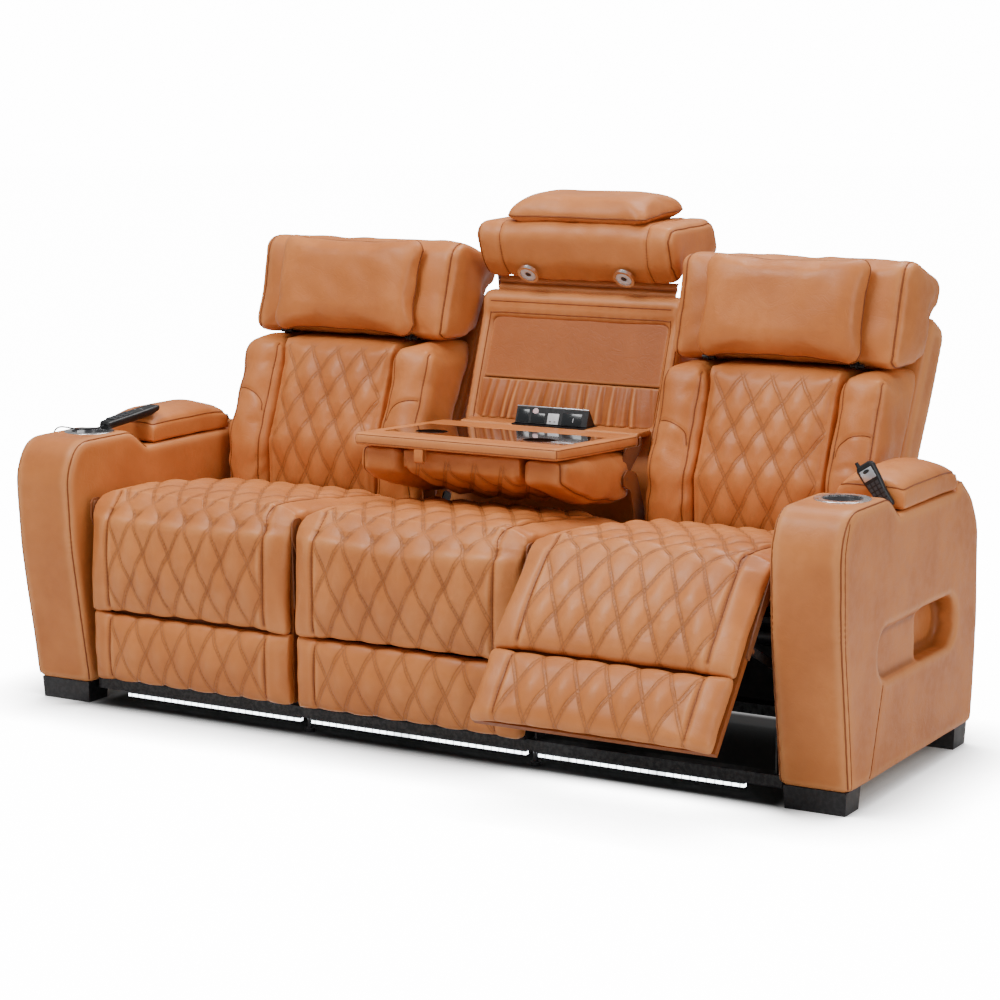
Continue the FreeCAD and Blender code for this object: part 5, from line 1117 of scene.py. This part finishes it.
for side, sign in sides:
    centre = sign * sideCentre
    back = "back_" + side
    settle(soft["back_" + side], back, ["back_quilt_" + side], quiltedLeather)
    for wing in ("outer", "inner"):
        piece = soft[f"wing_{wing}_{side}"]
        out = sign if wing == "outer" else -sign
        undulate(piece, height=0.0025, length=0.09, seed=20 + sign + out * 3)
        grownUp(piece, level=848.0, reach=60.0, push=9.0)
        edge = centre + out * 284.0
        inner = centre + out * 174.0
        lines = [profileLine(wingOutline, edge, closed=False), profileLine(wingOutline, inner, closed=False)]
        arc = []
        for j in range(25):
            t = j / 24
            z = 730.0 - 52.0 * (1 - math.cos(t * math.pi / 2))
            y = 541.0 + max(0.0, z - 612.0) * 0.42
            arc.append(rowPoint(centre + out * (284.0 - 110.0 * math.sin(t * math.pi / 2)), y - 6.0, z))
        dressSeams(f"wingPiping_{wing}_{side}", piece, lines, radius=0.0016, depth=0.003, body=back)
        dressSeams(f"wingSeam_{wing}_{side}", piece, [arc], radius=0.0012, width=0.006, body=back)
        settle(piece, back, ["back_wings_" + side], tanLeather)
    head = soft["head_" + side]
    widen(head, centre, 287.7, 8.0)
    undulate(head, height=0.0022, length=0.10, seed=31 + sign)
    lines = [profileLine(headOutline, centre + s * 279.0) for s in (1, -1)]
    dressSeams("headPiping_" + side, head, lines, radius=0.0022, depth=0.003, body="head_" + side)
    settle(head, "head_" + side, ["headrest_" + side], tanLeather)
    pillow = soft["pillow_" + side]
    scaleAbout(pillow, rowPoint(centre, 707.0, 993.5), (1.05, 1.0, 1.06))
    undulate(pillow, height=0.0016, length=0.10, seed=41 + sign)
    line = pillowLine((671.0, 863.0), (743.0, 1124.0), halfWidth=220.0, halfHeight=133.0, centre=centre)
    dressSeams("pillowPiping_" + side, pillow, [line], radius=0.0024, depth=0.001, body="head_" + side)
    settle(pillow, "head_" + side, ["head_pillow_" + side], tanLeather)

middleHinge = ((905.0, 925.0), -70.0)
middleOutline = [(792.0, 884.0, 8.0), (738.0, 860.0, 10.0), (664.0, 864.0, 16.0), (640.0, 892.0, 20.0),
                 (711.0, 1112.0, 30.0), (734.0, 1136.0, 16.0), (785.0, 1141.0, 20.0), (816.0, 1129.0, 14.0),
                 (771.0, 948.0, 60.0)]
head = soft["head_middle"]
undulate(head, height=0.0022, length=0.11, seed=50)
lines = [profileLine(middleOutline, s * 276.0, turn=middleHinge) for s in (1, -1)]
stitches = [profileLine(middleOutline, s * 205.0, turn=middleHinge) for s in (1, -1)]
dressSeams("headPiping_middle", head, lines, radius=0.0020, depth=0.003, body="head_middle")
dressSeams("headSeam_middle", head, stitches, radius=0.0009, depth=0.003, body="head_middle")
settle(head, "head_middle", ["headrest_middle"], tanLeather)
pillow = soft["pillow_middle"]
undulate(pillow, height=0.0018, length=0.10, seed=51)
dressSeams("pillowPiping_middle", pillow, [pillowLine((626.3, 893.0), (694.3, 1133.0), turn=middleHinge)],
           radius=0.0024, depth=0.001, body="head_middle")
settle(pillow, "head_middle", ["head_pillow_middle"], tanLeather)

for side, sign in sides:
    lid = soft["lid_" + side]
    x = sign * 1005.0
    undulate(lid, height=0.0008, length=0.12, seed=60 + sign)
    ring = [rowPoint(x + a, b, 664.0) for a, b in filletedPath([(79.0, 287.0, 16.0), (79.0, 607.0, 16.0),
                                                                 (-79.0, 607.0, 16.0), (-79.0, 287.0, 16.0)])]
    dressSeams("lidPiping_" + side, lid, [ring], radius=0.0018, depth=0.0014, body="lid_" + side)
    settle(lid, "lid_" + side, ["arm_lid_" + side], tanLeather)

bolsterOutline = [(232.0, 728.0, 10.0), (232.0, 612.0, 18.0), (360.0, 560.0, 120.0), (500.0, 535.0, 60.0),
                  (574.0, 540.0, 20.0), (584.0, 600.0, 20.0)]
for side, sign in sides:
    piece = soft["bolster_" + side]
    widen(piece, sign * 223.0, 55.0, 9.0, reach=40.0)
    hangDown(piece, level=690.0, reach=110.0, push=10.0)
    undulate(piece, height=0.003, length=0.08, seed=70 + sign)
    lines = [profileLine(bolsterOutline, sign * 272.0, closed=False)]
    dressSeams("bolsterPiping_" + side, piece, lines, radius=0.0020, depth=0.003, body="table")
    settle(piece, "table", ["table_cushion"], tanLeather)
hangDown(soft["table_middle"], level=690.0, reach=110.0, push=8.0)
undulate(soft["table_middle"], height=0.002, length=0.09, seed=75)
settle(soft["table_middle"], "table", ["table_cushion"], quiltedLeather)
print("cushions dressed")

# arms

armOutline = [(8.0, 52.0, 10.0), (-50.0, 400.0, 700.0), (-60.0, 575.0, 120.0), (-22.0, 657.0, 74.0),
              (196.0, 658.0, 60.0), (258.0, 612.0, 14.0), (612.5, 612.0, 3.0), (612.5, 636.0, 1.0),
              (638.0, 636.0, 12.0), (704.0, 588.0, 50.0), (748.0, 520.0, 90.0), (756.0, 303.0, 300.0),
              (736.0, 52.0, 10.0)]


def makeArm(side, sign):
    bm = nodeShape("arm_cover_" + side)
    # the cavity behind the hide is filled where nothing shows, so that it takes no faces
    for near, far, front, rear, foot, top in ((935.0, 1028.0, 20.0, 700.0, 56.0, 465.0),
                                              (935.0, 1073.0, 20.0, 700.0, 56.0, 250.0),
                                              (935.0, 1073.0, 20.0, 138.0, 56.0, 465.0),
                                              (935.0, 1073.0, 621.0, 700.0, 56.0, 465.0)):
        xs = sorted((sign * near, sign * far))
        withBox(bm, rowPoint(xs[0], front, foot), rowPoint(xs[1], rear, top))
    arm = relaxedPiece(remeshed(bm, "armCover_" + side, 0.0065), 4)
    undulate(arm, height=0.0007, length=0.2, seed=80 + sign)
    inner, outer = sign * 924.0, sign * 1086.0
    lines = [profileLine(armOutline[:6], x, closed=False) for x in (inner, outer)]
    rear = [profileLine(armOutline[7:], x, closed=False) for x in (inner, outer)]
    dressSeams("armPiping_" + side, arm, lines + rear, radius=0.0018, depth=0.0025, body="base")
    front = filletedPath(armOutline[:4], False)
    second = [[rowPoint(sign * 1090.0, y + 14.0, z) for y, z in front if z < 640.0]]
    second.append([rowPoint(sign * 1090.0, 176.0 - 2.6 * j, 254.0 - 8.0 * j) for j in range(25)])
    dressSeams("armStitch_" + side, arm, second, radius=0.0011, depth=0.0018, width=0.006, body="base")
    settle(arm, "base", ["arm_cover_" + side], tanLeather)


for side, sign in sides:
    makeArm(side, sign)
print("arms covered")

# backs and the middle frame

for side, sign in sides:
    slab = relaxedPiece(remeshed(nodeShape("back_slab_" + side), "backPanel_" + side, 0.010), 3)
    undulate(slab, height=0.0015, length=0.22, seed=90 + sign)
    settle(slab, "back_" + side, ["back_slab_" + side], tanLeather)

frameShape = relaxedPiece(remeshed(nodeShape("middle_back_frame"), "recessFrame", 0.0075), 3)
undulate(frameShape, height=0.0012, length=0.12, seed=95)
frameFront = [(711.0, 620.0, 60.0), (822.0, 934.0, 20.0), (822.0, 985.0, 26.0), (878.0, 990.0, 26.0)]
edges = [profileLine(frameFront, s * 283.2, closed=False) for s in (1, -1)]
edges += [profileLine([(711.0, 620.0, 60.0), (822.0, 934.0, 1.0)], s * 254.0, closed=False) for s in (1, -1)]
edges += [[rowPoint(-255.0 + 10.0 * j, 817.0, z) for j in range(52)] for z in (932.0, 962.0)]
dressSeams("recessPiping", frameShape, edges, radius=0.0013, depth=0.0025, body="base")
settle(frameShape, "base", ["middle_back_frame"], tanLeather)

panel = remeshed(nodeShape("recess_panels", lambda p: p.z > 0.7), "recessPanel", 0.004)
settle(panel, "base", ["recess_panels"], shadedPanelLeather)
shelf = remeshed(nodeShape("recess_panels", lambda p: p.z <= 0.7), "outletShelf", 0.004)
settle(shelf, "base", ["recess_panels"], tanLeather)

# a folded gusset closes the view between the frame and the raised head cushion
gussetSettings = {"half": 252.0, "rows": [(858.0, 984.0), (856.0, 994.0), (861.0, 1001.0), (868.0, 1004.0),
                                          (862.0, 1009.0), (866.0, 1018.0), (874.0, 1022.0), (882.0, 1020.0)]}


def makeGusset(settings):
    bm = bmesh.new()
    columns = 60
    grid = []
    rng = np.random.default_rng(11)
    phase = rng.uniform(0, 6.28, 4)
    for i in range(columns + 1):
        x = -settings["half"] + 2 * settings["half"] * i / columns
        wave = math.sin(x / 41.0 + phase[0]) + 0.6 * math.sin(x / 19.0 + phase[1])
        grid.append([bm.verts.new(rowPoint(x, y + 0.8 * wave, z + 0.5 * math.sin(x / 29.0 + phase[2])))
                     for y, z in settings["rows"]])
    for a, b in zip(grid[:-1], grid[1:]):
        for j in range(len(a) - 1):
            bm.faces.new((a[j], b[j], b[j + 1], a[j + 1]))
    bm.normal_update()
    gusset = meshPiece("headGusset", bm)
    addModifier(gusset, "SOLIDIFY", thickness=0.002, offset=0.0)
    return subdivided(gusset)


settle(makeGusset(gussetSettings), "base", [], shadedPanelLeather)

pocketSettings = {"half": 249.0, "low": 676.5, "high": 771.0, "columns": 170, "rows": 22, "lean": 0.3535}


def makePocket(settings):
    # a gathered strip: pleats fan out from the stitched top and swell towards the shelf
    bm = bmesh.new()
    bmesh.ops.create_grid(bm, x_segments=settings["columns"], y_segments=settings["rows"], size=0.5)
    bmesh.ops.rotate(bm, cent=(0, 0, 0), matrix=Matrix.Rotation(math.pi / 2, 3, "X"), verts=bm.verts)
    rng = np.random.default_rng(7)
    phases = rng.uniform(0, 6.28, 6)
    for vertex in bm.verts:
        across, up = vertex.co.x * 2, vertex.co.z + 0.5
        x = across * settings["half"]
        z = settings["low"] + (settings["high"] - settings["low"]) * up
        fan = x * (1 - 0.06 * (1 - up)) + 5.0 * math.sin(x / 37.0 + phases[0]) * (1 - up)
        fold = (math.sin(fan / 4.6 + 1.3 * math.sin(fan / 31.0 + phases[1]))
                + 0.7 * math.sin(fan / 8.9 + phases[2] + up * 1.2) + 0.5 * math.sin(fan / 2.9 + phases[3]))
        swell = math.sin(min(1.0, (1 - up) * 1.15) * math.pi * 0.62)
        tight = 1.1 + 1.9 * (1 - up)
        edge = 1 - abs(across) ** 10
        line = 711.0 + (z - 620.0) * settings["lean"]
        y = line + 12.0 - (3.0 + 7.0 * swell * edge + fold * tight * edge)
        vertex.co = rowPoint(x, y, z)
    bm.normal_update()
    pocket = meshPiece("gatheredPocket", bm)
    addModifier(pocket, "SOLIDIFY", thickness=0.0016, offset=0.0)
    return finishedMesh(pocket)


pocket = makePocket(pocketSettings)
settle(pocket, "base", ["ruched_pocket"], shadedPocketLeather)
print("recess dressed")

# fold-down table

tableFront, tableRear = (210.0, 698.0), (622.0, 680.0)


def tablePoint(x, along, through):
    # along the table from its front edge, through it from the top face, in millimetres
    length = math.dist(tableFront, tableRear)
    uy, uz = (tableRear[0] - tableFront[0]) / length, (tableRear[1] - tableFront[1]) / length
    return rowPoint(x, tableFront[0] + uy * along + uz * through, tableFront[1] + uz * along - uy * through)


tableTop = relaxedPiece(remeshed(nodeShape("table_board"), "tableBoard", 0.0045), 2)
hem = [tablePoint(x, 1.0, 24.0) for x in range(-272, 273, 8)]
rim = [tablePoint(a, b, 5.0) for a, b in filletedPath([(275.0, 3.0, 12.0), (275.0, 409.0, 12.0),
                                                        (-275.0, 409.0, 12.0), (-275.0, 3.0, 12.0)])]
sideHems = [[tablePoint(s * 278.0, 4.0 + 8.0 * j, 24.0) for j in range(50)] for s in (1, -1)]
corners = [[tablePoint(s * 276.0, 2.0, t) for t in range(4, 27, 2)] for s in (1, -1)]
dressSeams("tableStitch", tableTop, [hem, rim] + sideHems + corners, radius=0.0010, depth=0.0012, width=0.005,
           body="table")
settle(tableTop, "table", ["table_board"], tanLeather)

strapSettings = {"left": -108.0, "width": 24.0, "near": 3.0, "depth": 16.0, "drop": 32.0, "thick": 3.0}


def makeStrap(settings):
    # a folded band of hide hanging in a loop from the table's underside
    near = settings["near"] + settings["thick"] / 2
    far = settings["near"] + settings["depth"] - settings["thick"] / 2
    low = 30.0 + settings["drop"] - settings["thick"] / 2
    outline = [(near, 29.0), (near - 1.0, 38.0), (near - 1.5, 48.0), (near + 1.0, low - 3.0),
               ((near + far) / 2, low), (far - 1.0, low - 3.0), (far + 1.0, 48.0), (far + 0.5, 38.0),
               (far, 29.0)]
    bm = bmesh.new()
    row = [bm.verts.new(tablePoint(settings["left"], a, t)) for a, t in outline]
    edges = [bm.edges.new(pair) for pair in zip(row[:-1], row[1:])]
    made = bmesh.ops.extrude_edge_only(bm, edges=edges)["geom"]
    bmesh.ops.translate(bm, vec=(settings["width"] / 1000, 0, 0),
                        verts=[g for g in made if isinstance(g, bmesh.types.BMVert)])
    across = [e for e in bm.edges if abs(e.verts[0].co.x - e.verts[1].co.x) > 0.01]
    bmesh.ops.subdivide_edges(bm, edges=across, cuts=3, use_grid_fill=True)
    bmesh.ops.recalc_face_normals(bm, faces=bm.faces)
    strap = meshPiece("pullStrap", bm)
    addModifier(strap, "SOLIDIFY", thickness=settings["thick"] / 1000, offset=0.0)
    addModifier(strap, "BEVEL", width=0.0007, segments=2)
    return subdivided(strap, 2)


strap = makeStrap(strapSettings)
settle(strap, "table", ["pull_strap"], tanLeather)
print("table dressed")

# small trim on the CAD pieces

satinSilver = moulded("satinSilver", (0.55, 0.58, 0.62, 1), 0.28, metal=0.7, bump=0.03, wearAmount=0.2)
paleGrey = moulded("paleGrey", (0.62, 0.64, 0.66, 1), 0.4, bump=0.05, wearAmount=0.3)
paleRose = moulded("paleRose", (0.80, 0.56, 0.58, 1), 0.35, bump=0.03, wearAmount=0.2)
socketBlack = moulded("socketBlack", (0.006, 0.008, 0.010, 1), 0.22, coat=0.3, wearAmount=0.2)
lampBlack = moulded("lampBlack", (0.02, 0.02, 0.024, 1), 0.2, coat=0.5, wearAmount=0.1)


def localFrame(start, along, up):
    # local X runs along, local Z points away from what the piece lies on
    a = Vector(along).normalized()
    b = Vector(up)
    b = (b - a * b.dot(a)).normalized()
    c = b.cross(a)
    matrix = Matrix((a, c, b)).transposed().to_4x4()
    matrix.translation = rowPoint(*start)
    return matrix


def trimPiece(name, bm, frameMatrix, material, body, bevel=0.0004, segments=2):
    # bm is in millimetres in the piece's own frame
    bmesh.ops.scale(bm, vec=(0.001, 0.001, 0.001), verts=bm.verts)
    sharp = [e for e in bm.edges if len(e.link_faces) == 2 and e.calc_face_angle(0.0) > 0.6]
    if bevel and sharp:
        bmesh.ops.bevel(bm, geom=sharp, offset=bevel, affect="EDGES", segments=segments, profile=0.5,
                        material=-1, clamp_overlap=True)
    bmesh.ops.transform(bm, matrix=frameMatrix, verts=bm.verts)
    bmesh.ops.recalc_face_normals(bm, faces=bm.faces)
    piece = meshPiece(name, bm)
    smoothShaded(piece)
    piece.data.materials.append(material)
    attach(piece, body)
    return piece


def boxShape(x, y, z, length, width, height):
    # length along X, width along Y, standing on z
    bm = bmesh.new()
    verts = bmesh.ops.create_cube(bm, size=1.0)["verts"]
    bmesh.ops.scale(bm, vec=(length, width, height), verts=verts)
    bmesh.ops.translate(bm, vec=(x, y, z + height / 2), verts=verts)
    return bm


def spunShape(profile, steps=48):
    # profile of (radius, height) turned about the local Z axis
    bm = bmesh.new()
    row = [bm.verts.new((r, 0.0, h)) for r, h in profile]
    edges = [bm.edges.new(pair) for pair in zip(row[:-1], row[1:])]
    bmesh.ops.spin(bm, geom=row + edges, cent=(0, 0, 0), axis=(0, 0, 1), angle=2 * math.pi, steps=steps,
                   use_merge=True)
    bmesh.ops.remove_doubles(bm, verts=bm.verts, dist=0.001)
    return bm


def ovalShape(x, y, z, length, width, height, steps=32):
    bm = spunShape([(0.0, 0.0), (0.5, 0.0), (0.5, 0.8), (0.42, 1.0), (0.0, 1.0)], steps)
    bmesh.ops.scale(bm, vec=(length, width, height), verts=bm.verts)
    bmesh.ops.translate(bm, vec=(x, y, z), verts=bm.verts)
    return bm


# the flap's front: local X to the right, local Y down its slope
flapFrame = localFrame((0.0, 675.0, 677.5), (1.0, 0.0, 0.0), (0.0, -41.5, 15.0))
flapTrim = [
    ("flapStrip", boxShape(0.0, 43.2, 0.0, 201.0, 2.6, 1.6), satinSilver, "lamp_chrome"),
    ("flapSocketOuter", boxShape(-80.0, 19.0, 0.0, 32.0, 32.0, 1.0), socketBlack, "black_plastic"),
    ("flapSocketInner", boxShape(-38.0, 15.0, 0.0, 38.0, 24.0, 1.0), socketBlack, "black_plastic"),
    ("flapButton", ovalShape(-47.0, 31.5, 0.0, 16.0, 16.0, 1.0), paleRose, "black_plastic"),
    ("flapPlate", boxShape(5.0, 15.0, 0.0, 31.0, 27.0, 1.2), paleGrey, "black_plastic"),
    ("flapSlotLeft", boxShape(-2.0, 8.0, 1.2, 5.0, 2.4, 0.3), socketBlack, "black_plastic"),
    ("flapSlotRight", boxShape(11.0, 8.0, 1.2, 5.0, 2.4, 0.3), socketBlack, "black_plastic"),
    ("flapSwitch", boxShape(57.0, 17.0, 0.0, 54.0, 30.0, 1.0), socketBlack, "black_plastic"),
    ("flapMark", boxShape(61.0, 15.0, 1.0, 1.6, 11.0, 0.3), paleGrey, "black_plastic"),
]
for name, shape, material, slot in flapTrim:
    trimPiece(name, shape, flapFrame, material, "flap")

handsetLean = math.radians(33.0)
handsetFrame = localFrame((1052.0, 273.9, 621.3), (-math.sin(handsetLean), 0.0, math.cos(handsetLean)),
                          (0.0, -1.0, 0.0))
handsetTrim = [
    ("handsetPanel", boxShape(83.0, 0.0, 8.2, 25.0, 31.0, 1.2), satinSilver, "lamp_chrome", 0.0005),
    ("handsetWindow", ovalShape(90.0, 0.0, 9.3, 8.0, 16.0, 0.6), socketBlack, "black_plastic", 0.0),
    ("handsetMark", boxShape(9.0, 0.0, 8.2, 2.2, 9.0, 0.5), satinSilver, "black_plastic", 0.0002),
]
for name, shape, material, slot, bevel in handsetTrim:
    trimPiece(name, shape, handsetFrame, material, bodyOf("handset_right"), bevel=bevel)
wandFrame = localFrame((-985.0, 165.0, 668.6), (36.0, 164.0, 28.8), (0.0, 0.0, 1.0))
for name, x, y, width in (("wandMarkNear", 112.0, 8.0, 3.0), ("wandMarkFar", 121.0, -4.0, 9.0)):
    trimPiece(name, boxShape(x, y, 10.3, 3.0, width, 0.5), wandFrame, satinSilver, bodyOf("remote_left"),
              bevel=0.0002)

# turned shapes, as (radius, height)
lensProfile = [(8.0, 0.0), (20.4, 0.0), (20.4, 1.0), (18.5, 2.2), (9.0, 2.2), (8.0, 1.6), (8.0, 0.0)]
eyeProfile = [(0.0, 0.0), (7.6, 0.0), (7.6, 1.4), (5.0, 2.4), (0.0, 2.8)]
linerProfile = [(0.0, 1.4), (43.4, 1.4), (43.4, 84.0), (42.6, 84.0), (42.6, 2.2), (0.0, 2.2)]
lampSlope = math.atan2(24.0, 54.0)
for side, sign in sides:
    y, z = turnedAbout(765.0 + math.sin(lampSlope) * 6.3, 872.0 - math.cos(lampSlope) * 6.3, *middleHinge)
    turn = lampSlope + math.radians(middleHinge[1])
    lampFrame = localFrame((sign * 135.0, y, z), (1.0, 0.0, 0.0), (0.0, math.sin(turn), -math.cos(turn)))
    cupFrame = localFrame((sign * 1005.0, 133.0, 571.0), (1.0, 0.0, 0.0), (0.0, 0.0, 1.0))
    turned = (("lampLens_", lensProfile, lampFrame, whiteLens, "head_middle", "lamp_chrome"),
              ("lampEye_", eyeProfile, lampFrame, lampBlack, "head_middle", "black_plastic"),
              ("cupLiner_", linerProfile, cupFrame, lampBlack, "base", "black_plastic"))
    for name, profile, place, material, body, slot in turned:
        trimPiece(name + side, spunShape(profile), place, material, body, bevel=0.0)
print("trim placed")

# CAD pieces that keep their shape

finishes = {
    seatSteel: ["base_frame"],
    blackSteel: ["footrest_cranks_left", "footrest_cranks_right", "push_bars_left", "push_bars_right",
                 "back_hardware_left", "back_hardware_right", "lid_hinges"],
    # the footrest arms take the dark brown as painted shade
    brownPaintAndShade: ["table_brackets", "headrest_arms_middle", "footrest_arms_left", "footrest_arms_right"],
    blackPlastic: ["legs", "storage_bins", "drive_units", "outlet_housing", "outlet_flap", "remote_left",
                   "handset_right", "cord_grommet"],
    greyKeys: ["remote_keys_left", "handset_keys_right"],
    smokedGloss: ["table_insert", "table_cups"],
    chrome: ["reading_lamps"],
    rimSteel: ["cup_holders"],
    plyBoard: ["arm_frames"],
    shadedPanelLeather: ["footrest_board_left", "footrest_board_right"],
    darkCover: ["seat_boxes"],
    diodes: ["light_bar"],
}
for material, names in finishes.items():
    for name in names:
        node = frame["nodes"][name]
        if node.material_slots:
            for place in node.material_slots:
                place.material = material
        else:
            node.data.materials.append(material)

# floor


def paleFloor(name, strength):
    # white ground with painted shadow: darker close under things and dark inside the sofa's footprint
    material, tree, shader = newMaterial(name)
    # painted contact shadow: the glow falls off where the ground is hemmed in by things close by
    open = addNode(tree, "ShaderNodeAmbientOcclusion", {"Distance": 0.24}, samples=16).outputs["AO"]
    open = mathNode(tree, "POWER", open, 4.0)
    # painted shade under the sofa: no glow inside a box round its footprint
    place = objectPlace(tree)
    x, y = separated(tree, place)[:2]
    aside = rampNode(tree, mathNode(tree, "ABSOLUTE", x), 0.90, 1.02)
    before = mathNode(tree, "MAXIMUM", rampNode(tree, y, 0.30, 0.48), rampNode(tree, y, -0.36, -0.45))
    under = mathNode(tree, "MAXIMUM", aside, before)
    open = times(tree, open, under)
    # the ground's own colour is near black inside that box, painted shade
    tone = mixColour(tree, under, (0.02, 0.02, 0.02, 1), (0.8, 0.8, 0.8, 1))
    seen = addNode(tree, "ShaderNodeLightPath").outputs["Is Camera Ray"]
    glow = times(tree, times(tree, open, seen), strength)
    feed(tree, shader, {"Base Color": tone, "Roughness": 0.7, "Emission Color": (1, 1, 1, 1),
                        "Emission Strength": glow})
    return material


floorMaterial = paleFloor("studioFloor", lightSettings["backdrop"] - 0.7)
bm = bmesh.new()
bmesh.ops.create_circle(bm, cap_ends=True, segments=96, radius=30.0)
floor = meshPiece("studioFloor", bm)
floor.data.materials.append(floorMaterial)
